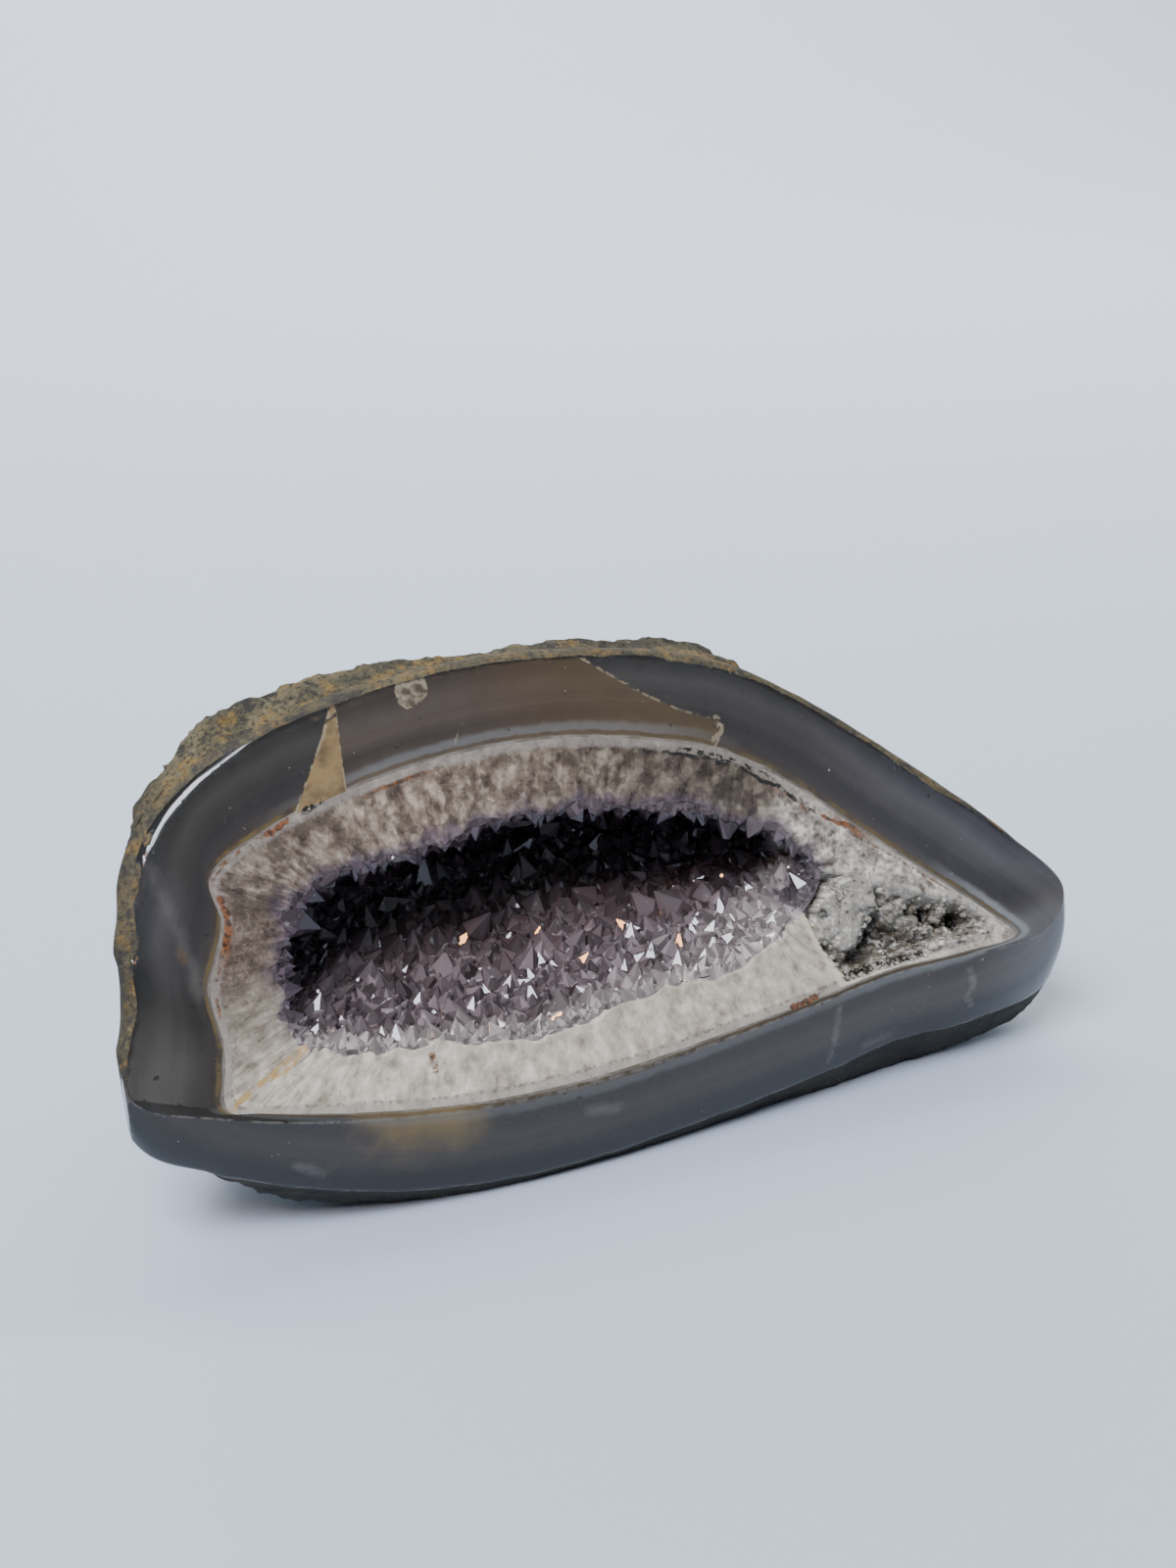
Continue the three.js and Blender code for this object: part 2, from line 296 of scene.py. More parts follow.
# The broken pocket at the right-hand end: its outline on the sawn plane, then the humps and
# holes on its floor, each a place, a radius and how far it rises.
pocketOutline = ((49, 29), (52, 20), (54.5, 12), (59, 4), (60, 1.5), (81.7, 2.6), (97.7, 3.2),
                 (111, 3.6), (108, 11), (101, 16.5), (93, 20), (84, 23), (76, 27), (68.9, 31), (58, 34))
pocketForms = [
    ((64, 20), 10.5, 8), ((57, 26), 5, 4.5), ((70, 25), 4.5, 5), ((76, 21), 4, 4.5), ((80, 16.5), 4.5, 5.5),
    ((85, 12), 4, 5), ((89.5, 8.5), 4, 4.5), ((95.5, 6.5), 4.5, 4.5), ((103, 6), 4.5, 4.5),
    ((62, 11), 4, 3.5), ((94, 14), 2.5, 3), ((89.6, 14.2), 2.6, -6), ((99.5, 10.7), 3, -6.5),
    ((75.2, 22.4), 1.6, -3.5), ((84.5, 16.8), 1.4, -3), ((103.4, 7.2), 1.5, -3), ((70.3, 12), 3.4, -2),
    ((72, 7), 4, 1.5), ((79, 6.5), 3, -1.5),
]


def pocketSink(p):
    # how far the floor of the pocket lies below the sawn plane, in mm
    flat = flatPlace(p)
    share = np.clip(-areaDistance(flat, pocketOutline) / pocket["slopeWidth"], 0, 1)
    steep = np.clip((70 - flat[:, 0]) / 10, 0.15, 1) * np.clip((28 - flat[:, 1]) / 6, 0, 1)
    share = np.sqrt(share) * steep + share ** 2 * (3 - 2 * share) * (1 - steep)
    sunk = pocket["depth"] * share * (1 + 0.3 * lumps(p * 2)[:, 0]) * 0.85
    for centre, radius, rise in pocketForms:
        near = np.linalg.norm(flat - centre, axis=1) / radius
        sunk -= rise * np.sqrt(np.maximum(1 - near ** 2, 0)) * np.minimum(share * 2, 1)
    grit = lumps(p * 5.1)[:, 0] * 0.4 + lumps(p * 9.7)[:, 0] * 0.2
    return np.maximum(sunk + grit * np.minimum(share * 3, 1), 0) * (share > 0)


def inPocket(p):
    return p + intoStone * pocketSink(p)[:, None]


def readAll(items, name, kind=float, width=1):
    # one value, or a row of them, for each item of a mesh
    values = np.empty(len(items) * width, kind)
    items.foreach_get(name, values)
    return values if width == 1 else values.reshape(-1, width)


def roundMesh(name, rings, first, last):
    # a sphere made by the operator, whose points are then laid on the rings
    rings = np.array(rings)
    count, around = rings.shape[:2]
    deselectAll()
    bpy.ops.mesh.primitive_uv_sphere_add(segments=around, ring_count=count + 1, radius=1)
    piece = bpy.context.object
    piece.name = name
    mesh = piece.data
    where = readAll(mesh.vertices, "co", width=3)
    row = np.rint(np.arccos(np.clip(where[:, 2], -1, 1)) * (count + 1) / math.pi).astype(int)
    column = np.rint(np.arctan2(where[:, 1], where[:, 0]) * around / (2 * math.pi)).astype(int) % around
    placed = rings[np.clip(row - 1, 0, count - 1), column]
    placed[row == 0] = first
    placed[row == count + 1] = last
    mesh.vertices.foreach_set("co", (placed * mm).ravel())
    mesh.update()
    return piece, row, column


def writeUv(piece, name, around, column, values):
    # column runs round the piece, and its last face carries on past the seam
    mesh = piece.data
    corners = readAll(mesh.loops, "vertex_index", int)
    starts, totals = (readAll(mesh.polygons, key, int) for key in ("loop_start", "loop_total"))
    turn = column[corners].astype(float)
    highest = np.repeat(np.maximum.reduceat(turn, starts), totals)
    turn[(highest - turn) > around / 2] += around
    both = np.stack((turn / around, values[corners]), axis=1)
    layer = mesh.uv_layers.get(name) or mesh.uv_layers.new(name=name)
    layer.data.foreach_set("uv", both.ravel())


def closeUp(piece):
    deselectAll()
    piece.select_set(True)
    bpy.context.view_layer.objects.active = piece
    bpy.ops.object.mode_set(mode="EDIT")
    bpy.ops.mesh.select_all(action="SELECT")
    bpy.ops.mesh.normals_make_consistent(inside=False)
    bpy.ops.object.mode_set(mode="OBJECT")


# The relief of the rind in four layers, in metres: the noise, its size, its height and middle.
rindRelief = [
    ("CLOUDS", 0.011, 0.0017, 0.55, {"noise_depth": 2}),
    ("MUSGRAVE", 0.006, 0.0009, 0.5, {"musgrave_type": "RIDGED_MULTIFRACTAL", "octaves": 4}),
    ("VORONOI", 0.005, -0.0009, 0.35, {"distance_metric": "DISTANCE"}),
    ("CLOUDS", 0.0022, 0.0006, 0.5, {"noise_depth": 3}),
]


def displace(piece, group, kind, size, height, middle, settings):
    texture = bpy.data.textures.new(kind.lower(), kind)
    texture.noise_scale = size
    for key, value in settings.items():
        setattr(texture, key, value)
    change = piece.modifiers.new(kind.title(), "DISPLACE")
    change.texture = texture
    change.texture_coords = "LOCAL"
    change.strength = height
    change.mid_level = middle
    change.vertex_group = group
    bpy.ops.object.modifier_apply(modifier=change.name)


# Marks on the sawn plane, in mm: lines with a width, and areas by their corners.
markLines = {
    "rust": [(((-104.5, 57), (-103.6, 53), (-103.8, 49), (-105.4, 45)), 1.6),
             (((-84.5, 73.4), (-87, 71.4), (-90, 70.4)), 1.6), (((62.5, 48), (66, 45.5), (69.5, 44.2)), 1.2),
             (((-59.6, 8.4), (-59.2, 5.5), (-59.6, 3.2)), 1.5),
             (((41.5, -1.2), (45.6, -0.8), (49.6, 0)), 1.7)],
    "dark": [(((-80.5, 74.6), (-77.6, 75.6), (-75.4, 76.2)), 1.7), (((-115.9, 22.5), (-115.7, 22)), 0.9),
             (((58, 51.5), (60, 49.5)), 0.6), (((61, 3), (66, 3.6), (71, 4.2), (77, 4.2), (85, 4.6)), 2)],
    "cream": [(((-68, 100), (-69.6, 96), (-71.3, 92.8)), 1), (((1.2, 102), (9, 95.7), (16.5, 90)), 0.5),
              (((36.3, 80.3), (37.6, 76.3), (34.5, 74.2)), 1.6), (((-39.2, 83.6), (-35.5, 88.4)), 0.5),
              (((-125.1, 27), (-125, 26.8)), 1), (((-22, 99.5), (-21.6, 97.6)), 0.8)],
    "ridge": [(((49.5, 29), (51, 21.8), (53.2, 14.6), (57.5, 4.9), (58, 2)), 3)],
    "stain": [(((-116.2, 46), (-116, 44)), 2.2), (((-100, 11), (-95, 13), (-90, 17)), 1),
              (((-75, 100), (-72, 97)), 1.4)],
}
markAreas = {
    "wedge": ((-66.8, 102), (-67.9, 100), (-71.3, 92.8), (-81.7, 75.1), (-84, 70), (-68, 74.5), (-68.3, 79)),
    "chip": ((-49.4, 104), (-42.6, 103), (-42.2, 99.2), (-45.4, 96.8), (-48.4, 95.8), (-50.4, 97.6),
             (-50.8, 101)),
}
# On the front face, in mm: the see-through step near its right-hand end, and three scratches.
frontLines = {
    "step": (((99, -57, 32), (100.5, -56.5, 27), (98.5, -56, 23), (101, -55.5, 19.5)),
             ((56, -58, 30), (54, -57, 14))),
    "scratch": (((-97, -60, 22), (-91, -59, 18)), ((-20, -62, 20), (-12, -62, 19)),
                ((66, -57, 15), (74, -57, 16.5))),
}
amberSpot = ((-72, -61, 27), (-58, -61, 27))  # a yellowish spot under the crease of the front face
# the line of the painted sheen, a reflection off the polish painted as a soft pale band down the left of the
# section
paintedSheenLine = ((-119.9, 67.6), (-117.6, 56.8), (-115.4, 49.3), (-114.2, 41.8), (-113.6, 34.8))
fractures = {
    "left": ((-64, 108), (-67.9, 100.5), (-71.3, 92.8), (-76.5, 84), (-81.7, 75.1), (-86, 66)),
    "right": ((-3, 108), (0.4, 102.3), (8.9, 95.7), (16.3, 89.9), (26.6, 83.5), (33, 80.8), (36.8, 79.4),
              (37.9, 76.3), (35, 73), (30, 66)),
}


def sideOf(p, places):
    # signed distance from a line that runs down the section, above 0 on its right-hand side
    places = np.asarray(places, float)
    order = np.argsort(places[:, 1])
    right = p[:, 0] > np.interp(p[:, 1], places[order, 1], places[order, 0])
    return lineDistance(p, places) * np.where(right, 1, -1)


def writeValue(piece, name, values):
    layer = piece.data.attributes.new(name, "FLOAT", "POINT")
    layer.data.foreach_set("value", np.asarray(values, np.float32).ravel())


def writeMarks(piece, p, layer):
    flat = flatPlace(p)
    for kind, group in markLines.items():
        away = [lineDistance(flat, places) - width / 2 for places, width in group]
        writeValue(piece, kind, np.minimum.reduce(away))
    for kind, corners in markAreas.items():
        writeValue(piece, kind, areaDistance(flat, corners))
    left, right = (sideOf(flat, fractures[name]) for name in ("left", "right"))
    above = flat[:, 1] > 40
    writeValue(piece, "mauve", np.where(above, np.minimum(left, -right), -30))
    writeValue(piece, "tan", np.where(above, -right, 60))
    writeValue(piece, "pocket", -areaDistance(flat, pocketOutline) * (layer < 1.02) * (layer >= 0))
    writeValue(piece, "sunk", (p - sawPoint) @ intoStone)
    writeValue(piece, "amber", lineDistance(p, amberSpot))
    upright = np.array((1, 0, 1))  # seen square to the front face, and only there
    for kind, group in frontLines.items():
        away = [lineDistance(p * upright, np.array(places) * upright) for places in group]
        writeValue(piece, kind, np.minimum.reduce(away) + np.maximum(p[:, 1] + 50, 0))
    # how far each point is from the line of the painted sheen
    writeValue(piece, "streak", lineDistance(flat, paintedSheenLine))


def stoneRings(turns):
    # rings of points from deep in the hollow, over the section and the rim, to the far side,
    # each with its layer: below 0 in the hollow, 0 to 1 quartz, 1 to 2 agate, to 3 the edge
    ragged = 1.1 * wobble(turns, 60, 13) + 1.1 * wobble(turns, 110, 11) + 0.9 * wobble(turns, 210, 12)
    for step in (0.97, 0.9, 0.78, 0.62, 0.45, 0.28, 0.14, 0.06, 0.02):
        yield hollowRing(columnEnds(turns), step, 1.6), -step
    for part in np.linspace(0, 1, body["quartzRings"], endpoint=False):
        ring = sectionRing(turns, part, 0.6 + ragged)
        yield inPocket(ring) + intoStone * 0.5 * max(1 - part * 12, 0), part
    for part in list(np.linspace(1, 1.9, body["agateRings"])) + [1.94, 1.965, 1.985, 2]:
        yield sectionRing(turns, part, ragged), part
    for part in [0.02, 0.045] + list(np.linspace(0.09, 1, body["edgeRings"])):
        yield edgeRing(turns, part), 2 + part
    shares = np.arange(body["rindRings"]) / body["rindRings"]
    for step in 0.004 + 0.99 * shares ** body["rindBunching"]:
        yield rindRing(turns, step), 3 + step


def makeStone():
    around = body["around"]
    turns = np.arange(around) / around
    rings, layer = zip(*stoneRings(turns))
    deep = onSaw(body["mouthMiddle"]) + body["hollowDepth"] * 1.03
    piece, row, column = roundMesh("geodeStone", rings, deep, body["farSide"])
    layer = np.array((layer[0],) + layer + (4.0,))
    # how far each point is from where the agate began, along the section and down its edge
    stack = np.array((rings[0],) + rings + (rings[-1],))
    first, last = np.searchsorted(layer, (1, 3.001))
    gaps = np.linalg.norm(np.diff(stack, axis=0), axis=2)
    quartz = np.linalg.norm(stack[np.searchsorted(layer, 0)] - stack[first], axis=1)
    distance = np.zeros((len(layer), around))
    distance[first + 1:last] = np.cumsum(gaps[first:last - 1], axis=0)
    distance[last:] = distance[last - 1]
    inner = layer < 1
    distance[inner] = -quartz * (1 - np.clip(layer[inner, None], 0, 1))
    bands = np.repeat(np.where(layer > 3, layer - 1, layer)[:, None], around, axis=1)
    bands[first:last] = 1 + distance[first:last] / distance[last - 1]
    writeUv(piece, "bands", around, column, bands[row, column])
    writeUv(piece, "distance", around, column, distance[row, column] / 10)
    roughen(piece, layer[row])
    inward = np.linalg.norm(sawLine("rim", turns) - stack, axis=2)
    strip = np.array([broken(turns, ring[:, None])[:, 0] for ring in inward])
    strip = np.where((layer > 1)[:, None] & (layer < 2)[:, None], strip, 0)
    face, _, _, shown, _ = formAt(turns)
    lasting = (np.minimum(shown * 1.6, 1) * np.clip(1 - face / 4, 0, 1))[:, 0]
    strip = np.where((layer >= 2)[:, None], lasting, strip)
    writeValue(piece, "broken", strip[row, column])
    # how far from the crease of the front face, where pale chips and a painted highlight run
    writeValue(piece, "creaseChipsAndHighlight", (inward + np.maximum(6 - face[:, 0], 0))[row, column])
    writeValue(piece, "rim", (inward + np.maximum(face[:, 0] - 3, 0))[row, column])
    return piece


def roughen(piece, layer):
    # the relief of the rind fades out at the polished edge, and is worn down underneath
    mesh = piece.data
    rind = piece.vertex_groups.new(name="rind")
    tall = readAll(mesh.vertices, "co", width=3)[:, 2]
    worn = 0.3 + 0.7 * np.clip(tall / body["wornBelow"], 0, 1)
    weight = np.round(np.clip((layer - 3.004) / 0.03, 0, 1) * worn, 2)
    for share in np.unique(weight[weight > 0]):
        rind.add(np.flatnonzero(weight == share).tolist(), float(share), "REPLACE")
    closeUp(piece)
    for row in rindRelief:
        displace(piece, "rind", *row)
    inside = np.clip(readAll(mesh.vertices, "co", width=3), *(np.array(corner) for corner in cadBox))
    mesh.vertices.foreach_set("co", inside.ravel())
    mesh.update()
    writeMarks(piece, inside / mm, layer)


# A soft lamp nearly overhead to the left, a small warm one, and one for the sheet behind.
lights = {
    "window": {"where": (-0.55, -0.41, 1.25), "size": (0.8, 0.56), "power": 41, "colour": "#EAEFFA"},
    "warm": {"where": (-0.8, -0.55, 1.0), "size": (0.1, 0.1), "power": 2, "colour": "#FFB070"},
    "sheet": {"where": (0.5, 0.75, 1.5), "size": (2.6, 0.5), "power": 86, "colour": "#FFFCF6",
              "aim": (1.0, 2.0, 0.1)},
}
sky = {"colour": "#F3E4D0", "strength": 0.8}
camera = {"place": (-175.96, -431.43, 310), "tip": 64.06, "turn": -22.83, "lens": 42.75, "sensor": 36}


# A quartz point: a six-sided column with a pyramid whose tip leans.
crystal = {"sides": 6, "lean": 0.16, "pyramid": 1.15}


def makePoint(lean, tip, column):
    deselectAll()
    bpy.ops.mesh.primitive_cylinder_add(vertices=crystal["sides"], radius=1, depth=column,
                                        location=(0, 0, column / 2), end_fill_type="NGON")
    bpy.ops.object.transform_apply(location=True)
    piece = bpy.context.object
    mesh = piece.data
    for edge in mesh.edges:
        edge.select = False
    for vertex in mesh.vertices:
        vertex.select = vertex.co.z > column * 0.9
    for face in mesh.polygons:
        face.select = face.normal.z > 0.9
    bpy.ops.object.mode_set(mode="EDIT")
    bpy.ops.mesh.select_mode(type="FACE")
    top = (lean, lean * 0.4, crystal["pyramid"])
    bpy.ops.mesh.extrude_region_move(TRANSFORM_OT_translate={"value": top})
    bpy.ops.transform.resize(value=(tip, tip, 1), center_override=(top[0], top[1], column + top[2]))
    bpy.ops.mesh.select_all(action="SELECT")
    bpy.ops.mesh.quads_convert_to_tris()
    bpy.ops.object.mode_set(mode="OBJECT")
    points = readAll(mesh.vertices, "co", width=3)
    faces = [tuple(p.vertices) for p in mesh.polygons]
    # which of the column's and the pyramid's six sides each triangle belongs to
    sides = [round(math.degrees(math.atan2(p.normal.y, p.normal.x)) / 60) % 6 + (6 if p.normal.z > 0.1 else 0)
             for p in mesh.polygons]
    bpy.data.objects.remove(piece)
    return points, faces, np.array(sides)


def wallPlaces(turns, steps):
    # places on the wall of the hollow and the way that it faces there
    here = hollowRing(turns, steps, 0.6)
    beside = hollowRing(turns + 0.004, steps, 0.6) - here
    beyond = hollowRing(turns, steps + 0.01, 0.6) - here
    facing = np.cross(beyond, beside)
    return here, unit(facing)


# Quartz points by size, biggest first: radius in mm, how many places are tried, how closely
# they stand, and how deep in the hollow they begin. The roof of its mouth has big ones too.
sizes = [
    {"radius": (3.4, 5), "tries": 700, "apart": 1.5, "from": 0.5},
    {"radius": (2.1, 3.2), "tries": 6000, "apart": 0.84, "from": 0},
    {"radius": (1.1, 1.8), "tries": 9000, "apart": 0.8, "from": 0},
]


def choosePlaces():
    chosen, radii, rows = np.empty((0, 3)), np.empty(0), []
    for group in sizes:
        count = group["tries"]
        turns = rng.uniform(0, 1, count)
        # most of the places are spread along the hollow's depth, the rest over its far end
        steps = np.where(rng.uniform(0, 1, count) < 0.6, rng.uniform(0, 1, count),
                         (1 - rng.uniform(0, 1, count)) ** (1 / body["hollowFull"]))
        steps = np.clip(steps, 0, 0.98)
        sized = rng.uniform(*group["radius"], count)
        here, facing = wallPlaces(turns, steps)
        roof = (facing[:, 2] < -0.2) & (steps < 0.3)
        wanted = (steps >= group["from"]) | (roof & (rng.uniform(0, 1, count) < 0.5))
        for k in np.flatnonzero(wanted):
            away = np.linalg.norm(chosen - here[k], axis=1)
            if np.any(away < group["apart"] * 0.5 * (radii + sized[k])):
                continue
            chosen, radii = np.vstack((chosen, here[k])), np.append(radii, sized[k])
            rows.append((here[k], facing[k], sized[k], steps[k]))
    return rows


# Points that the saw cut through, big ones along the roof of the hollow's mouth and small ones
# along its floor: their stretch of the way round, radius in mm, the distance between two in
# radii, how far behind the cut they stand in mm, and how much they lean at random.
teeth = {
    "roof": {"turns": (0.125, 0.56), "radius": (1.4, 2.9), "apart": (1.3, 2.1), "behind": (1.2, 3.5),
             "lean": 0.16},
    "front": {"turns": (0.6, 1.09), "radius": (0.9, 2), "apart": (0.6, 1.3), "behind": (0.3, 2.2),
              "lean": 0.35},
}
mouthLine = closedLine(lines["hollow"], np.linspace(0, 1, 400))
mouthLength = np.linalg.norm(np.diff(mouthLine, axis=0), axis=1).sum()


def mouthEdge(turn):
    # a place on the hollow's line and the way out from it
    turns = np.array([turn])
    return sawLine("hollow", turns)[0], outward("hollow", turns)[0]


def roofTeeth():
    # they hang from the upper edge, and the first ones at the left are bigger
    rows, kind = [], teeth["roof"]
    turn, last = kind["turns"]
    while turn < last:
        radius = rng.uniform(*kind["radius"]) * (1.35 if turn < 0.2 else 1)
        edge, out = mouthEdge(turn)
        here = edge + out * 0.8 + intoStone * rng.uniform(*kind["behind"])
        axis = -out + intoStone * rng.uniform(0, 0.5) + rng.normal(0, kind["lean"], 3)
        rows.append((here, unit(axis), radius, 0))
        turn += radius * rng.uniform(*kind["apart"]) / mouthLength
    return rows


def frontTeeth():
    draws = np.random.default_rng(43)
    rows, kind = [], teeth["front"]
    turn, last = kind["turns"]
    while turn < last:
        radius = draws.uniform(*kind["radius"])
        edge, out = mouthEdge(turn)
        here = edge + out * draws.uniform(-0.8, 0.9)
        here = here + intoStone * draws.uniform(*kind["behind"])
        axis = -out + draws.normal(0, kind["lean"], 3)
        rows.append((here, unit(axis), radius, 0))
        turn += radius * draws.uniform(*kind["apart"]) / mouthLength
    return rows


def standUp(points, here, axis, radius, tall, sunk):
    # a point stood on the wall
    turn = Vector((0, 0, 1)).rotation_difference(Vector(axis)).to_matrix()
    spin = Matrix.Rotation(rng.uniform(0, math.pi), 3, "Z")
    return (points * (radius, radius, tall)) @ np.array(turn @ spin).T + here - axis * sunk * radius


def sawn(placed):
    # cut off flush where the saw went through
    depth = (placed - sawPoint) @ intoStone
    return placed + np.maximum(0.25 - depth, 0)[:, None] * intoStone


def catchLight(placed, triangles, sides, here, lamp):
    # turns a point until its nearest facet sends the lamp's light to the eye
    ways = [np.array(spot) * 1000 - here for spot in (lamp, np.array(camera["place"]) * mm)]
    halfway = unit(sum(unit(way) for way in ways))
    corners = placed[np.array(triangles)]
    facing = np.cross(corners[:, 1] - corners[:, 0], corners[:, 2] - corners[:, 0])
    facing /= np.maximum(np.linalg.norm(facing, axis=1), 1e-9)[:, None]
    near = np.where(sides > 5, facing @ halfway, -1)
    best = int(near.argmax())
    if near[best] < 0.7:
        return placed
    turn = Vector(facing[best]).rotation_difference(Vector(halfway)).to_matrix()
    return (placed - here) @ np.array(turn).T + here


def joinedMesh(name, stacks, faces, values, clear=None):
    mesh = bpy.data.meshes.new(name)
    starts = np.cumsum([0] + [len(part) for part in stacks[:-1]]).tolist()
    corners = [tuple(v + start for v in face) for start, part in zip(starts, faces) for face in part]
    mesh.from_pydata((np.vstack(stacks) * mm).tolist(), [], corners)
    piece = bpy.data.objects.new(name, mesh)
    bpy.context.collection.objects.link(piece)
    closeUp(piece)
    for key, parts in values.items():
        writeValue(piece, key, np.concatenate(parts))
    if clear is not None:
        layer = mesh.attributes.new("clear", "FLOAT", "FACE")
        layer.data.foreach_set("value", clear.astype(np.float32))
    return piece


def crustBacking():
    turns = np.arange(200) / 200
    steps = np.sin(np.linspace(0, 1, 50, endpoint=False) * math.pi / 2)
    front = [hollowRing(turns, step, 0.6 + 0.4 * wobble(turns, 80, 60 + k))
             for k, step in enumerate(steps[::-1])]
    back = [hollowRing(turns, step, 2.2) for step in steps[::5]]
    rings = [ring + np.maximum(0.5 - (ring - sawPoint) @ intoStone, 0)[:, None] * intoStone
             for ring in front + back]
    deep = onSaw(body["mouthMiddle"]) + body["hollowDepth"]
    backing, _, _ = roundMesh("crustBacking", rings, deep, deep + body["hollowDepth"] * 0.04)
    points = readAll(backing.data.vertices, "co", width=3) / mm
    faces = [tuple(p.vertices) for p in backing.data.polygons]
    bpy.data.objects.remove(backing)
    return points, faces


def makeCrust():
    points, faces = crustBacking()
    stacks, corners = [points], [faces]
    values = {"growth": [np.zeros(len(points))], "tint": [np.full(len(points), 0.5)]}
    shapes = [makePoint(crystal["lean"] * k, tip, column)
              for k, tip, column in ((1, 0.05, 0.5), (-1.3, 0.12, 0.7), (0.4, 0.22, 0.4), (1.7, 0.04, 0.9))]
    places = choosePlaces() + roofTeeth()
    flashing = chooseFlashes(places)
    places += frontTeeth()
    clear = [np.full(len(faces), 0.5)]
    for k, (here, facing, radius, step) in enumerate(places):
        shape, triangles, sides = shapes[rng.integers(len(shapes))]
        axis = unit(facing + rng.normal(0, 0.3 if step > 0 else 0.1, 3))
        tall = radius * rng.uniform(0.85, 1.3)
        placed = standUp(shape, here, axis, radius, tall, 0.6)
        if k in flashing:
            placed = catchLight(placed, triangles, sides, here, lights[flashing[k]]["where"])
        stacks.append(sawn(placed))
        corners.append(triangles)
        values["growth"].append(shape[:, 2] / shape[:, 2].max())
        values["tint"].append(np.full(len(shape), rng.uniform()))
        clear.append(rng.uniform(0, 1, 12)[sides])
    print("quartz points", len(places), "that flash", len(flashing))
    return joinedMesh("crystalCrust", stacks, corners, values, np.concatenate(clear))


# Points that catch each lamp's light: how many, and how big they are at least, in mm.
flashes = {"window": (30, 1.7), "warm": (9, 1.5), "apart": 6}


def chooseFlashes(places):
    # points on the floor of the hollow, spread out and more of them to the right
    flashing, used = {}, []
    order = rng.permutation(len(places))
    for lamp in ("window", "warm"):
        (wanted, least), count = flashes[lamp], 0
        for k in order:
            here, facing, radius, _ = places[k]
            depth = (here - sawPoint) @ intoStone
            fits = radius > least and facing[2] > 0.3 and 2 < depth < 36 and k not in flashing
            if not fits or rng.uniform(-90, 60) > here[0]:
                continue
            if used and min(math.dist(here, other) for other in used) < flashes["apart"]:
                continue
            flashing[k] = lamp
            used.append(here)
            count += 1
            if count == wanted:
                break
    return flashing


def makePocketPoints():
    shapes = [makePoint(crystal["lean"] * k, tip, column)
              for k, tip, column in ((1, 0.1, 0.6), (-1, 0.3, 0.5))]
    stacks, corners, values = [], [], {"tint": [], "sunk": []}
    flat = np.stack((rng.uniform(49, 111, 3000), rng.uniform(1, 32, 3000)), axis=1)
    flat = flat[areaDistance(flat, pocketOutline) < -0.8]
    top = onSaw(flat)
    sunk = pocketSink(top)
    for place, depth in zip(top[:pocket["points"]], sunk):
        radius = rng.uniform(*pocket["radius"]) * (0.7 if depth < 3 else 1)
        if depth < radius * 0.8:
            continue
        shape, triangles, _ = shapes[rng.integers(2)]
        axis = unit(-intoStone + rng.normal(0, 0.6, 3))
        stacks.append(sawn(standUp(shape, place + intoStone * depth, axis, radius, radius, 0.5)))
        corners.append(triangles)
        values["tint"].append(np.full(len(shape), rng.uniform()))
        values["sunk"].append(np.full(len(shape), depth))
    return joinedMesh("pocketPoints", stacks, corners, values)


def toLinear(value):
    # an sRGB hex colour as a linear one, and a single number as a grey
    if not isinstance(value, str):
        return (value, value, value, 1)
    parts = [int(value[k:k + 2], 16) / 255 for k in (1, 3, 5)]
    return tuple(c / 12.92 if c <= 0.04045 else ((c + 0.055) / 1.055) ** 2.4 for c in parts) + (1.0,)


shading = {}  # the nodes of the material that is being made, and the place that its patterns read


def newMaterial(name):
    material = bpy.data.materials.new(name)
    material.use_nodes = True
    shading["tree"] = material.node_tree
    shading["tree"].nodes.clear()
    shading["spot"] = addNode("ShaderNodeTexCoord").outputs["Object"]
    return material


def addNode(kind, settings=None, **inputs):
    # settings are the node's own values, inputs its sockets by name or number; a socket links
    tree = shading["tree"]
    node = tree.nodes.new(kind)
    for key, value in (settings or {}).items():
        setattr(node, key, value)
    for key, value in inputs.items():
        socket = node.inputs[int(key[1:]) if key[1:].isdigit() else key.replace("_", " ")]
        if isinstance(value, bpy.types.NodeSocket):
            tree.links.new(value, socket)
        else:
            socket.default_value = toLinear(value) if socket.type == "RGBA" else value
    return node


def ramp(value, stops):
    node = addNode("ShaderNodeValToRGB", Fac=value)
    band = node.color_ramp
    while len(band.elements) < len(stops):
        band.elements.new(0.5)
    for element, (at, colour) in zip(band.elements, stops):
        element.position = at
        element.color = toLinear(colour)
    return node.outputs["Color"]


def mix(share, a, b, how="MIX"):
    return addNode("ShaderNodeMix", {"data_type": "RGBA", "blend_type": how}, i0=share, i6=a,
                   i7=b).outputs[2]


def tinted(colour, tone):
    return mix(1, colour, tone, "MULTIPLY")


def layOn(colour, tone, *shares):
    # the tone laid over the colour, by all the shares multiplied
    return mix(times(*shares), colour, tone)


def math2(how, a, b=0, c=0):
    return addNode("ShaderNodeMath", {"operation": how}, i0=a, i1=b, i2=c).outputs[0]


def scaled(value, by, plus=0):
    return math2("MULTIPLY_ADD", value, by, plus)


def span(value, low, high, how="SMOOTHSTEP"):
    # 0 at the low value and 1 at the high one, which may be the smaller of the two
    return addNode("ShaderNodeMapRange", {"interpolation_type": how}, Value=value, From_Min=low,
                   From_Max=high).outputs["Result"]


def attribute(name):
    return addNode("ShaderNodeAttribute", {"attribute_name": name}).outputs["Fac"]


def grain(sizeMm, detail=3, rough=0.55, warp=0):
    # noise whose features are about that many mm across, on coordinates in metres
    return addNode("ShaderNodeTexNoise", Vector=shading["spot"], Scale=1000 / sizeMm, Detail=detail,
                   Roughness=rough, Distortion=warp).outputs["Fac"]


def apart(vector, *names):
    split = addNode("ShaderNodeSeparateXYZ", Vector=vector)
    return [split.outputs[name] for name in names]


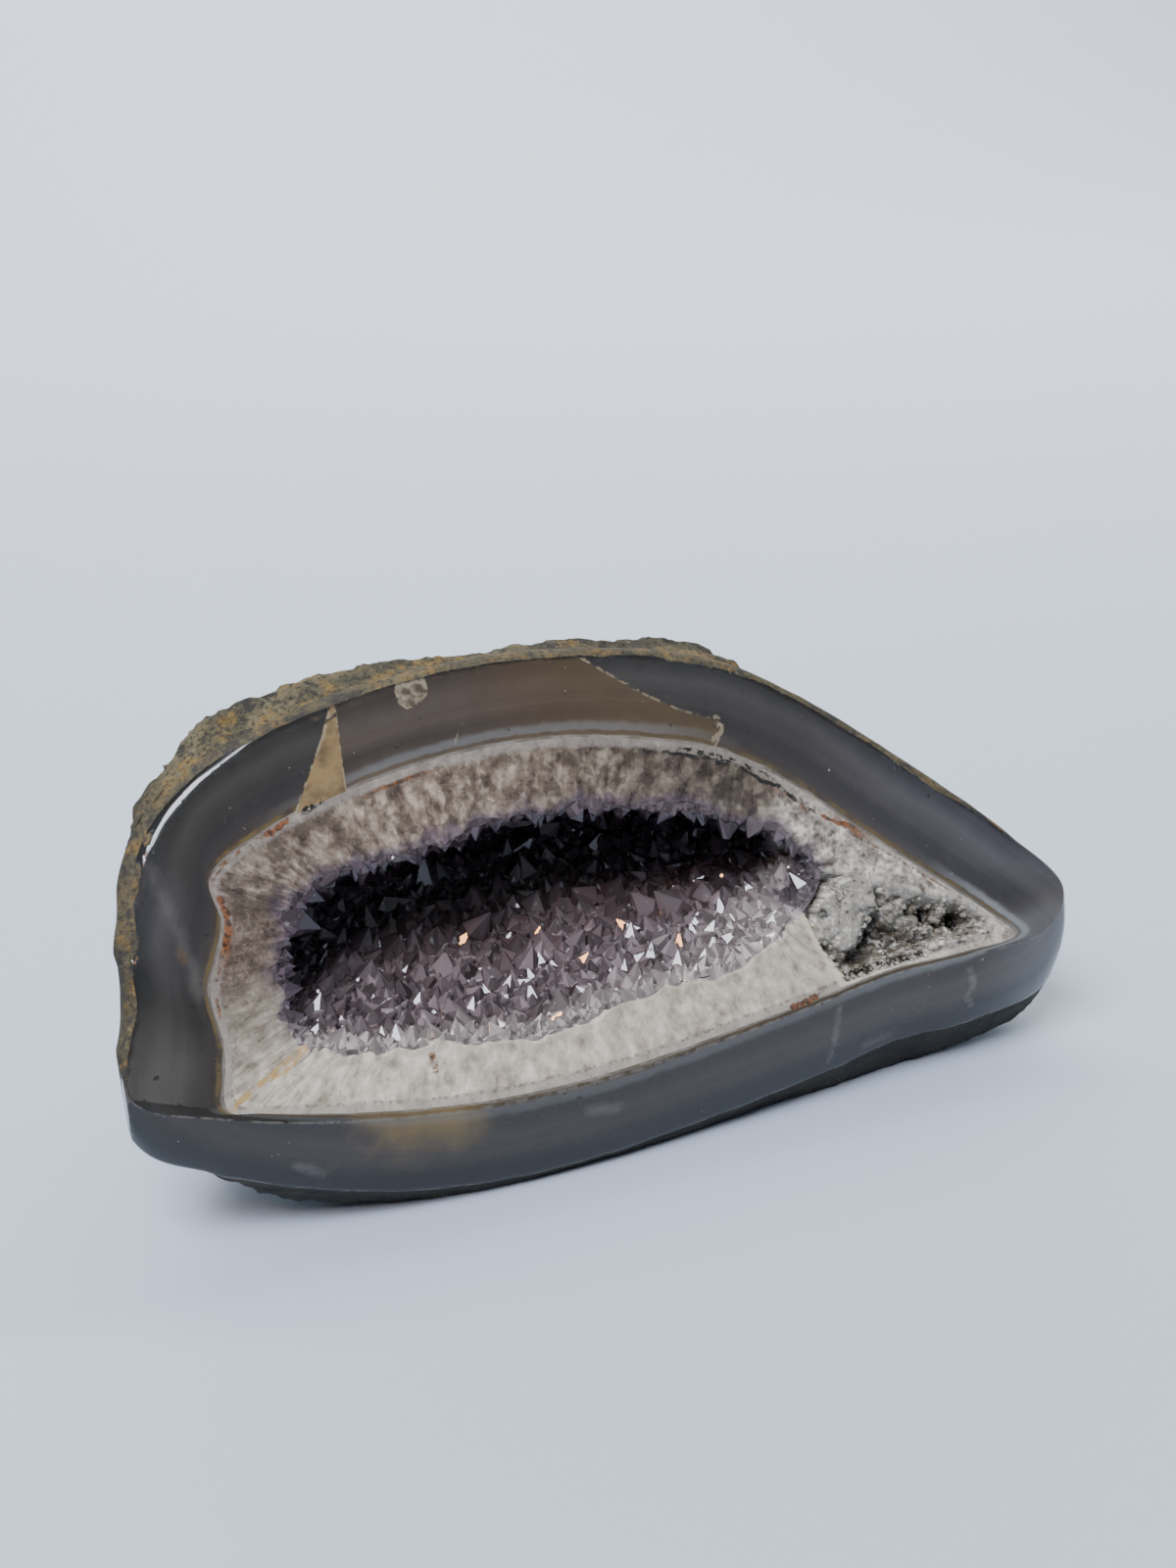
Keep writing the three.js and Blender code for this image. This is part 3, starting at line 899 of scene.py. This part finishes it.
def along(name):
    # one coordinate of the place, in metres
    return apart(shading["spot"], name)[0]


def uvPlace(name, *names):
    return apart(addNode("ShaderNodeUVMap", {"uv_map": name}).outputs["UV"], *names)


def fromSaw(direction):
    # how far a place lies from the sawn plane's own point in that direction, in mm
    away = addNode("ShaderNodeVectorMath", {"operation": "SUBTRACT"}, i0=shading["spot"],
                   i1=tuple(sawPoint * mm))
    reach = addNode("ShaderNodeVectorMath", {"operation": "DOT_PRODUCT"}, i0=away.outputs[0],
                    i1=tuple(np.array(direction) * 1000))
    return reach.outputs["Value"]


def times(*values):
    total = values[0]
    for value in values[1:]:
        total = math2("MULTIPLY", total, value)
    return total


def finish(colour, rough, height=None, bump=0.3, depthMm=0.3, **values):
    if height is not None:
        raised = addNode("ShaderNodeBump", Height=height, Strength=bump, Distance=depthMm * mm)
        values["Normal"] = raised.outputs["Normal"]
    shader = addNode("ShaderNodeBsdfPrincipled", Base_Color=colour, Roughness=rough, **values)
    addNode("ShaderNodeOutputMaterial", Surface=shader.outputs[0])


def markMask(name, soft=0.15, wander=0.8, size=1.6):
    # the inside of the listed marks, with an edge that wanders by that many mm
    ragged = scaled(grain(size, 4, 0.7), wander * 3, -wander * 1.5)
    return span(math2("ADD", attribute(name), ragged), soft, -soft)


def stretch(turn, low, high, soft=0.008):
    # 1 over one stretch of the way round the section, 0 elsewhere
    return times(span(turn, low - soft, low + soft), span(turn, high + soft, high - soft))


def beside(far, middle, half, wander, size):
    # a thread that follows the wall at that distance from the quartz line, wandering a little
    shift = scaled(grain(size, 3, 0.7), wander * 4, -wander * 2 - middle)
    return span(math2("ABSOLUTE", math2("ADD", far, shift)), half * 1.3, half * 0.6)


def rustAndSeams(colour, turn, far):
    # iron stains and the black thread along the line where the quartz began to grow
    broken = span(grain(2.4, 3, 0.6), 0.44, 0.54)
    rustTone = mix(span(grain(1.3, 3), 0.35, 0.65), "#241208", "#74431C")
    for low, high, middle, half, wander, dense in (
            (0.165, 0.215, -0.6, 0.55, 0.5, False), (0.255, 0.283, -2.6, 0.5, 0.5, True),
            (0.455, 0.475, -3.6, 0.9, 1.1, False), (0.488, 0.505, -1, 1.1, 0.9, True),
            (0.5, 0.575, -2.4, 0.5, 0.7, False), (0.102, 0.122, -1.5, 1.4, 1.3, True),
            (0.06, 0.1, -1.4, 0.4, 0.5, False)):
        thread = times(beside(far, middle, half, wander, 5), stretch(turn, low, high))
        if not dense:
            thread = times(thread, broken)
        colour = layOn(colour, rustTone, thread, 0.8)
    colour = layOn(colour, rustTone, markMask("rust"), 0.9)
    black = times(beside(far, -2.6, 0.6, 1.1, 6), stretch(turn, 0.378, 0.468),
                  span(grain(5, 3, 0.6), 0.36, 0.46))
    branch = times(beside(far, -1.4, 0.4, 1.2, 2.5), stretch(turn, 0.385, 0.45), broken)
    colour = layOn(colour, "#161413", math2("MAXIMUM", black, branch))
    dotted = times(markMask("dark", 0.3, 1.1, 1.2), span(grain(1.3, 3, 0.6), 0.42, 0.5))
    return layOn(colour, "#151312", dotted)


def rindTone():
    coarse = grain(24, 5, 0.6, 0.4)
    middle = grain(6, 6, 0.65, 0.3)
    fine = grain(1.4, 4, 0.7)
    colour = ramp(coarse, [(0.32, "#221E13"), (0.43, "#3B3522"), (0.52, "#4C452E"), (0.62, "#5B533C"),
                           (0.74, "#3F3924")])
    colour = layOn(colour, "#6F5620", span(middle, 0.52, 0.62), 0.7)
    colour = layOn(colour, "#191711", span(middle, 0.47, 0.38), 0.9)
    colour = layOn(colour, "#100E0B", span(fine, 0.5, 0.38), 0.85)
    colour = layOn(colour, "#857D60", span(fine, 0.57, 0.7), 0.42)
    return colour, math2("ADD", fine, times(middle, 1.5))


def polishedAgate():
    # banded chalcedony, sawn and polished: glassy, grey, with bands that follow the wall
    material = newMaterial("polishedAgate")
    turn, layer = uvPlace("bands", "X", "Y")
    far = times(*uvPlace("distance", "Y"), 10)
    cloud = grain(26, 3)
    share = scaled(cloud, 0.14, math2("SUBTRACT", layer, 1.07))
    bands = {
        "main": [(0, "#5F5850"), (0.06, "#565049"), (0.14, "#454347"), (0.28, "#4A484D"), (0.42, "#5F5D63"),
                 (0.56, "#646269"), (0.68, "#57565F"), (0.8, "#42434B"), (0.92, "#383942"), (1, "#343439")],
        "left": [(0, "#4A4139"), (0.12, "#3D3834"), (0.26, "#353331"), (0.4, "#423F3C"), (0.52, "#454240"),
                 (0.66, "#343332"), (0.78, "#272727"), (0.9, "#2D2D2C"), (1, "#31312F")],
        "shade": [(0, "#54463A"), (0.15, "#3F3B3B"), (0.3, "#3A3838"), (0.45, "#42403E"), (0.58, "#474542"),
                  (0.72, "#393837"), (0.86, "#2D2D2E"), (1, "#2A2A2B")],
        "mauve": [(0, "#6B6057"), (0.12, "#514843"), (0.24, "#4A423D"), (0.38, "#615650"), (0.5, "#5D534D"),
                  (0.64, "#514844"), (0.78, "#443C38"), (0.9, "#3D3532"), (1, "#38312E")],
    }
    tones = {name: ramp(share, stops) for name, stops in bands.items()}
    atLeft = ramp(turn, [(0, 1), (0.055, 1), (0.1, 0.45), (0.14, 0), (0.93, 0), (0.975, 0.6), (1, 1)])
    shaded = ramp(turn, [(0.09, 0), (0.13, 1), (0.26, 1), (0.45, 0.75), (0.5, 0.2), (0.55, 0)])
    colour = mix(atLeft, mix(shaded, tones["main"], tones["shade"]), tones["left"])
    # browner towards the fracture at its right-hand end
    tan = layOn(tones["mauve"], "#61503B", span(attribute("tan"), 46, 4), 0.7)
    tan = layOn(tan, "#60533F", span(attribute("tan"), 14, 1), 0.4)
    inside = span(scaled(grain(3, 3), 1.4, attribute("mauve")), 0.5, 0.9)
    colour = layOn(colour, tan, inside)
    # the front face is darker towards its lower edge, painted shade that stands for the shadowed floor it
    # reflects, and paler at the right-hand end
    below = times(stretch(turn, 0.58, 0.98, 0.03), span(share, 0.35, 0.95))
    colour = layOn(colour, mix(span(turn, 0.75, 0.9), "#393B42", "#33312D"), below, 0.5)
    dim = ramp(turn, [(0, 0.85), (0.015, 1), (0.045, 0.85), (0.09, 0.95), (0.3, 1), (0.7, 0.95),
                      (0.8, 0.76), (0.95, 0.6), (1, 0.6)])
    colour = layOn(colour, tinted(colour, dim), span(share, 0.05, 0.2))
    warmer = stretch(turn, 0.585, 0.985, 0.015)
    colour = layOn(colour, tinted(colour, "#F2E4C8"), warmer)
    # paler in the lower left corner
    paleCorner = times(stretch(turn, -0.1, 0.038, 0.02), span(share, 0.08, 0.4), 0.4)
    colour = layOn(colour, "#77736E", paleCorner)
    # painted sheen: a soft pale band down the left of the section that stands in for a reflection off the
    # polish
    paintedSheen = scaled(grain(4, 5, 0.75), 6, attribute("streak"))
    colour = layOn(colour, "#8F8D88", span(paintedSheen, 6.2, 1.6), 0.26)
    # painted light: paler and bluer at the right-hand end of the front face
    pale = times(stretch(turn, 0.59, 0.65, 0.02), 0.6)
    colour = layOn(colour, "#8A8C92", pale)
    colour = tinted(colour, "#B8B6B2")
    for kind, half, share, tone in (("step", 1.6, 0.24, "#8E8C86"), ("scratch", 2.4, 0.16, "#98958F")):
        away = scaled(grain(3, 4, 0.7), 3, attribute(kind))
        colour = layOn(colour, tone, span(away, half + 1.8, 1.2), share)
    amber = span(scaled(grain(11, 4), 20, attribute("amber")), 24, 8)
    colour = layOn(colour, "#6E5C36", amber, 0.62)
    # fine bands about 1 mm apart, some broad and some thin
    wavy = scaled(cloud, 3, far)
    for scale, detail, depth in ((0.24, 1, 0.26), (1.1, 2, 0.09)):
        band = addNode("ShaderNodeTexNoise", {"noise_dimensions": "1D"}, W=wavy, Scale=scale, Detail=detail)
        tone = scaled(band.outputs["Fac"], depth * 2, 1 - depth)
        colour = tinted(colour, tone)
    patchy = scaled(grain(9, 4, 0.6), 0.36, 0.82)
    colour = tinted(colour, patchy)
    # the oldest layers by the quartz: white, then a yellow-brown line, strongest at both ends
    line = scaled(grain(4, 3), 1.6, math2("SUBTRACT", far, 0.8))
    white = span(line, 1.2, 0.5)
    yellow = times(span(line, 0.8, 1.3), span(line, 2.6, 1.6), span(grain(6, 4, 0.6), 0.36, 0.56),
                   ramp(turn, [(0, 0.9), (0.06, 0.8), (0.13, 0.6), (0.2, 0.9), (0.25, 0.25), (0.4, 0.2),
                               (0.5, 0.75), (0.59, 0.6), (0.64, 0.1), (0.95, 0.2), (1, 0.9)]))
    glow = times(span(line, 1.8, 2.6), span(line, 5.5, 3.6),
                 ramp(turn, [(0.2, 0), (0.26, 0.3), (0.38, 0.25), (0.43, 0), (0.53, 0.05), (0.57, 0.7),
                             (0.62, 0.7), (0.68, 0.45), (0.74, 0.25), (0.9, 0.15), (1, 0.1)]))
    colour = layOn(colour, "#7B7F80", glow)
    colour = layOn(colour, "#5A4B2B", yellow)
    white = times(white, ramp(grain(8, 3, 0.6), [(0.4, 0.35), (0.6, 0.9)]))
    colour = layOn(colour, mix(grain(2, 3), "#554F48", "#8F8980"), white)
    wedge = markMask("wedge", 0.12, 0.25, 3)
    colour = layOn(colour, mix(span(grain(6, 4), 0.35, 0.65), "#52432F", "#7D6846"), wedge, 0.9)
    chip = markMask("chip", 0.15, 0.5, 2)
    colour = layOn(colour, mix(span(grain(2.5, 4), 0.35, 0.65), "#453D33", "#8A806B"), chip, 0.85)
    for name, across in (("mauve", 0.5), ("wedge", 0.35), ("chip", 0.4)):
        seam = span(math2("ABSOLUTE", attribute(name)), across, across * 0.2)
        seam = times(seam, span(grain(2.5, 3), 0.4, 0.55))
        colour = layOn(colour, "#8A7E66", seam, 0.5)
    colour = layOn(colour, "#4D3D2C", markMask("stain", 0.5, 0.8), 0.6)
    colour = layOn(colour, "#938871", markMask("cream"), 0.4)
    # pale chips and a painted highlight along the crease of the front face
    creaseChipsAndHighlight = times(span(attribute("creaseChipsAndHighlight"), 0.7, 0.2), span(grain(3, 4, 0.65), 0.42, 0.56))
    colour = layOn(colour, "#6E6A66", creaseChipsAndHighlight, 0.45)
    # a thin dark line of iron where the agate meets the rind, and chips along the lowest edge
    outer = scaled(grain(4, 4, 0.6), 3, attribute("rim"))
    colour = layOn(colour, "#120F0B", span(outer, 3.6, 1.8), 0.85)
    chips = times(span(layer, 1.982, 1.994), span(grain(4, 4, 0.7), 0.45, 0.6))
    colour = layOn(colour, "#7C766A", chips, 0.6)
    colour = rustAndSeams(colour, turn, far)
    pits = span(grain(2.6, 1), 0.235, 0.2)
    colour = layOn(colour, "#232120", pits)
    dust = span(grain(1.3, 1), 0.8, 0.83)
    colour = layOn(colour, "#A9A9A8", dust, 0.7)
    rough = scaled(grain(14, 3), 0.16, 0.05)
    bark, barkHeight = rindTone()
    torn = span(scaled(grain(1.8, 4, 0.7), 0.9, attribute("broken")), 0.62, 0.8)
    colour = layOn(colour, tinted(bark, "#E6DFC6"), torn)
    rough = scaled(torn, 0.6, rough)
    height = scaled(times(torn, barkHeight), 1, times(cloud, 0.06))
    finish(colour, rough, height, 0.6, 0.8, IOR=1.54)
    return material


def columnarQuartz():
    # milky quartz sawn along its columns: white streaks square to the wall, clearer between
    material = newMaterial("columnarQuartz")
    turn, layer = uvPlace("bands", "X", "Y")
    far = times(*uvPlace("distance", "Y"), 10)
    wander = scaled(grain(9, 2), 0.006, turn)
    streaks = []
    for columns, length, detail in ((165, 0.12, 2), (420, 0.26, 3)):
        across = addNode("ShaderNodeCombineXYZ", X=times(wander, columns), Y=times(far, length))
        streaks.append(addNode("ShaderNodeTexNoise", Vector=across.outputs[0], Scale=1, Detail=detail,
                               Roughness=0.6).outputs["Fac"])
    streak = scaled(streaks[0], 0.44, times(streaks[1], 0.14))
    streak = scaled(grain(3.2, 5, 0.65), 0.42, streak)
    patch = grain(5.5, 5, 0.62)
    speck = grain(0.9, 3, 0.7)
    pale = ramp(streak, [(0.38, "#5C5048"), (0.46, "#80746A"), (0.52, "#A0958A"), (0.59, "#C5BCAE"),
                         (0.68, "#EEE7DA")])
    clear = ramp(streak, [(0.38, "#4A3F3A"), (0.5, "#695D54"), (0.62, "#8F8376")])
    colour = mix(span(patch, 0.53, 0.43), pale, clear)
    # greyer and clearer at the left and the upper right
    shade = ramp(turn, [(0, 0.86), (0.04, 0.38), (0.1, 0.25), (0.2, 0.45), (0.28, 0.62), (0.36, 0.38),
                        (0.43, 0.24), (0.48, 0.62), (0.56, 0.9), (1, 0.9)])
    colour = tinted(colour, shade)
    colour = tinted(colour, "#FFF7E9")
    # more even at the left, grey-brown and finely clouded
    even = stretch(turn, 0.012, 0.15, 0.018)
    mottled = scaled(speck, 0.45, times(patch, 0.55))
    cloudy = ramp(mottled, [(0.38, "#33281F"), (0.5, "#4D4034"), (0.62, "#73655A")])
    colour = layOn(colour, cloudy, even, 0.72)
    # whiter along the front and lower left, where the sawn columns are frosted
    front = ramp(turn, [(0, 0.55), (0.05, 0.3), (0.09, 0), (0.58, 0), (0.66, 0.5), (0.72, 0.85),
                        (0.92, 0.95), (0.98, 0.8), (1, 0.6)])
    milky = scaled(streak, 0.8, times(grain(5, 5, 0.65), 0.2))
    frosted = ramp(milky, [(0.37, "#7A7263"), (0.45, "#9E9585"), (0.53, "#B9B19F"), (0.63, "#DAD3C1")])
    colour = layOn(colour, frosted, front)
    # crumbly and granular towards the broken pocket
    crumbs = scaled(grain(1.5, 3, 0.6), 0.5, times(patch, 0.5))
    crumbly = ramp(crumbs, [(0.38, "#4A443E"), (0.46, "#7D756C"), (0.53, "#A39B90"), (0.62, "#D4CDC1")])
    colour = layOn(colour, crumbly, stretch(turn, 0.46, 0.64, 0.02), 0.85)
    # violet towards the hollow, most along its roof
    violet = span(scaled(patch, 0.6, layer), 0.62, 0.28)
    violet = times(violet, ramp(turn, [(0, 0.15), (0.06, 0.45), (0.12, 0.8), (0.2, 0.9), (0.5, 0.75),
                                       (0.6, 0.35), (0.68, 0.12), (0.9, 0.08), (1, 0.15)]))
    colour = layOn(colour, mix(span(streak, 0.4, 0.65), "#2A1E27", "#655560"), violet)
    fineness = scaled(front, -0.35, 0.5)
    speckle = scaled(math2("SUBTRACT", speck, 0.5), fineness, 1)
    colour = tinted(colour, speckle)
    # the speckled line where the quartz began to grow, and the fine margin outside it
    margin = span(far, -3, -1.8)
    colour = layOn(colour, mix(speck, "#645E57", "#9A938A"), margin, 0.6)
    specks = times(beside(far, -2.2, 0.5, 0.4, 5), span(grain(1.2, 2), 0.5, 0.58))
    colour = layOn(colour, "#57463F", specks, 0.55)
    # the yellow seam in the lower left corner, between two fans of columns
    corner = math2("PINGPONG", math2("ADD", turn, 0.0015), 0.5)
    corner = scaled(grain(3, 4, 0.7), -0.012, corner)
    seam = times(span(corner, -0.001, -0.003), span(grain(4, 3, 0.6), 0.36, 0.56))
    colour = layOn(colour, mix(speck, "#6F5224", "#C19C55"), seam, 0.8)
    # the floor of the pocket, with painted shade that darkens it the deeper it lies, with frosted crests and
    # a pale lip
    pocketTone = ramp(span(scaled(patch, 4, attribute("sunk")), 2, 13, "LINEAR"),
                      [(0, "#868177"), (0.25, "#6E695F"), (0.5, "#5F594E"), (0.7, "#413B33"),
                       (0.88, "#211D19"), (1, "#0F0D0A")])
    frost = times(span(crumbs, 0.5, 0.6), 0.55)
    pocketTone = mix(frost, mix(span(crumbs, 0.46, 0.38), pocketTone, "#36322C"), "#CFCAC0")
    inside = span(scaled(patch, 5, attribute("pocket")), 2, 4.2)
    colour = layOn(colour, pocketTone, inside)
    lip = times(span(math2("ABSOLUTE", attribute("pocket")), 1.6, 0.5), span(grain(3.5, 3), 0.4, 0.6))
    colour = layOn(colour, "#BDB6A4", lip, 0.5)
    colour = layOn(colour, "#C4BAA3", markMask("ridge", 0.4, 0.9, 3), 0.7)
    colour = layOn(colour, "#A88444", markMask("stain"), 0.7)
    colour = rustAndSeams(colour, turn, far)
    rough = ramp(streak, [(0.36, 0.2), (0.66, 0.5)])
    height = scaled(streak, 0.5, times(speck, 0.25))
    finish(colour, rough, height, 0.5, 0.6, IOR=1.544, Subsurface_Weight=0.1, Subsurface_Scale=0.002)
    return material


def weatheredRind():
    # altered basalt that held the geode: dull, granular, stained ochre, with painted shade underneath
    material = newMaterial("weatheredRind")
    colour, height = rindTone()
    # painted shade: darker near the floor, where the underside lies in shadow
    low = span(along("Z"), 0.034, 0.012)
    colour = layOn(colour, "#11110E", low, 0.85)
    # darker and cracked at the left-hand end
    worn = times(span(along("X"), -0.105, -0.124), span(grain(5, 5, 0.7), 0.64, 0.48))
    colour = layOn(colour, "#1E1A12", worn, 0.85)
    finish(colour, 0.8, height, 0.8, 0.8, IOR=1.5)
    return material


def amethystPoints():
    # natural quartz faces: glassy and part clear, milky at the foot and violet towards the tip
    material = newMaterial("amethystPoints")
    growth, tint = attribute("growth"), attribute("tint")
    depth, upward = fromSaw(intoStone), fromSaw(upSaw)
    foot = mix(tint, "#4C4140", "#74686A")
    tip = mix(tint, "#4E4245", "#7D7173")
    # painted light: paler towards the front and the right-hand end, where the lamp reaches the floor of the
    # hollow
    paintedFloorLight = times(span(along("X"), -0.01, 0.06), span(depth, 26, 4))
    colour = mix(span(growth, 0.05, 0.9), foot, tip)
    colour = layOn(colour, "#C0B7B2", paintedFloorLight, 0.6)
    # milky where the floor of the hollow meets the sawn front
    milky = times(span(upward, 27, 15), span(depth, 8, 1), 0.55)
    colour = layOn(colour, "#B3AAA3", milky)
    # further in, a brown-mauve tone, partly the crystals' own and partly painted light; deepest in, painted
    # shade near black
    paintedDepthTone = span(depth, 16, 40)
    colour = layOn(colour, "#6A5A5B", paintedDepthTone, 0.65)
    colour = layOn(colour, "#332A2C", span(depth, 44, 60), 0.8)
    # the roof comes down towards both ends
    sideways = scaled(along("X"), 1.87, 0.037)
    upward = scaled(times(sideways, sideways), 1000, upward)
    shadow = times(span(upward, 42, 52), span(depth, 8, 24))
    colour = layOn(colour, "#30242F", shadow, 0.72)
    roof = times(span(upward, 36, 46), span(depth, 12, 4))
    colour = layOn(colour, mix(growth, "#463A40", "#2C2030"), roof, 0.85)
    # each side of a point is lighter or darker at random, a painted reflection that stands in for the light
    # each facet catches
    paintedFacetLight = scaled(math2("POWER", attribute("clear"), 1.6), 1.1, 0.5)
    colour = tinted(colour, paintedFacetLight)
    colour = layOn(colour, "#B5AEAE", span(grain(2.5, 3), 0.6, 0.75), 0.35)
    finish(colour, 0.04, IOR=1.544, Transmission_Weight=0.22)
    return material


def smokyPoints():
    # small quartz in the broken pocket: frosted white on the crests, smoky below and darkened by painted
    # shade the deeper they sit
    material = newMaterial("smokyPoints")
    level = scaled(attribute("tint"), 3, attribute("sunk"))
    colour = ramp(span(level, 0, 13, "LINEAR"),
                  [(0, "#B3ADA1"), (0.35, "#8D867A"), (0.6, "#676055"), (0.82, "#3B352D"), (1, "#15120F")])
    colour = layOn(colour, "#2C2823", span(grain(3, 3), 0.6, 0.72))
    finish(colour, 0.15, IOR=1.544, Transmission_Weight=0.1)
    return material


def palePaper():
    # a sheet of pale paper: bluish where it lies, more neutral where it hangs behind
    material = newMaterial("palePaper")
    hanging = span(along("Z"), 0.1, 1.1)
    colour = mix(hanging, "#B8C4D3", "#D2D1CE")
    finish(colour, 0.85, grain(1.2, 2), 0.08, 0.3)
    return material


def dress(piece, name, *materials):
    for material in materials:
        piece.data.materials.append(material)
    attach(piece, "root")


def assignZones(piece):
    # quartz inside its line, agate to the polished edge, rind behind
    mesh = piece.data
    layer = readAll(mesh.uv_layers["bands"].data, "uv", width=2)[:, 1]
    starts, totals = (readAll(mesh.polygons, key, int) for key in ("loop_start", "loop_total"))
    middle = np.add.reduceat(layer, starts) / totals
    mesh.polygons.foreach_set("material_index", np.digitize(middle, (1.0, 2.0)).astype(np.int32))
    mesh.polygons.foreach_set("use_smooth", np.ones(len(mesh.polygons), bool))
    mesh.update()


stone = makeStone()
dress(stone, "agate", columnarQuartz(), polishedAgate(), weatheredRind())
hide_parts("geode_shell")
print("stone", len(stone.data.polygons))
assignZones(stone)
crust = makeCrust()
dress(crust, "quartz_points", amethystPoints())
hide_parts("crystal_crust")
print("crust", len(crust.data.polygons))
grains = makePocketPoints()
dress(grains, "quartz_points", smokyPoints())
print("pocket points", len(grains.data.polygons))


# A pale sheet that runs back and curves up behind, in metres.
sheet = {"wide": 6, "front": -3, "back": 1.2, "bends": 12, "bendLength": 0.16, "high": 3}


def makeFloor():
    deselectAll()
    bpy.ops.mesh.primitive_plane_add(size=1)
    floor = bpy.context.object
    floor.name = "paleFloor"
    floor.data.materials.append(palePaper())
    for vertex in floor.data.vertices:
        vertex.co.x *= sheet["wide"]
        vertex.co.y = sheet["front"] if vertex.co.y < 0 else sheet["back"]
    mesh = floor.data
    for edge in mesh.edges:
        edge.select = all(mesh.vertices[v].co.y > 1 for v in edge.vertices)
    for vertex in mesh.vertices:
        vertex.select = vertex.co.y > 1
    bpy.ops.object.mode_set(mode="EDIT")
    bpy.ops.mesh.select_mode(type="EDGE")
    for k in range(sheet["bends"]):
        angle = (k + 0.5) / sheet["bends"] * math.pi / 2
        move = (0, math.cos(angle) * sheet["bendLength"], math.sin(angle) * sheet["bendLength"])
        bpy.ops.mesh.extrude_region_move(TRANSFORM_OT_translate={"value": move})
    bpy.ops.mesh.extrude_region_move(TRANSFORM_OT_translate={"value": (0, 0, sheet["high"])})
    bpy.ops.object.mode_set(mode="OBJECT")
    for face in floor.data.polygons:
        face.use_smooth = True
    return floor


makeFloor()


def addLight(name, where, size, power, colour, aim=(0, 0, 0.05)):
    data = bpy.data.lights.new(name, "AREA")
    data.shape = "RECTANGLE"
    data.size, data.size_y = size
    data.energy = power
    data.color = toLinear(colour)[:3]
    lamp = bpy.data.objects.new(name, data)
    bpy.context.collection.objects.link(lamp)
    lamp.location = where
    lamp.rotation_euler = (Vector(aim) - Vector(where)).to_track_quat("-Z", "Y").to_euler()


for name, settings in lights.items():
    addLight(name + "Light", **settings)
world = bpy.data.worlds.new("softRoom")
world.use_nodes = True
background = world.node_tree.nodes["Background"].inputs
background["Color"].default_value = toLinear(sky["colour"])
background["Strength"].default_value = sky["strength"]
bpy.context.scene.world = world

cameraData = bpy.data.cameras.new("camera")
cameraData.lens = camera["lens"]
cameraData.sensor_width = camera["sensor"]
cameraObject = bpy.data.objects.new("camera", cameraData)
bpy.context.collection.objects.link(cameraObject)
cameraObject.location = [v * mm for v in camera["place"]]
cameraObject.rotation_euler = (math.radians(camera["tip"]), 0, math.radians(camera["turn"]))
bpy.context.scene.camera = cameraObject
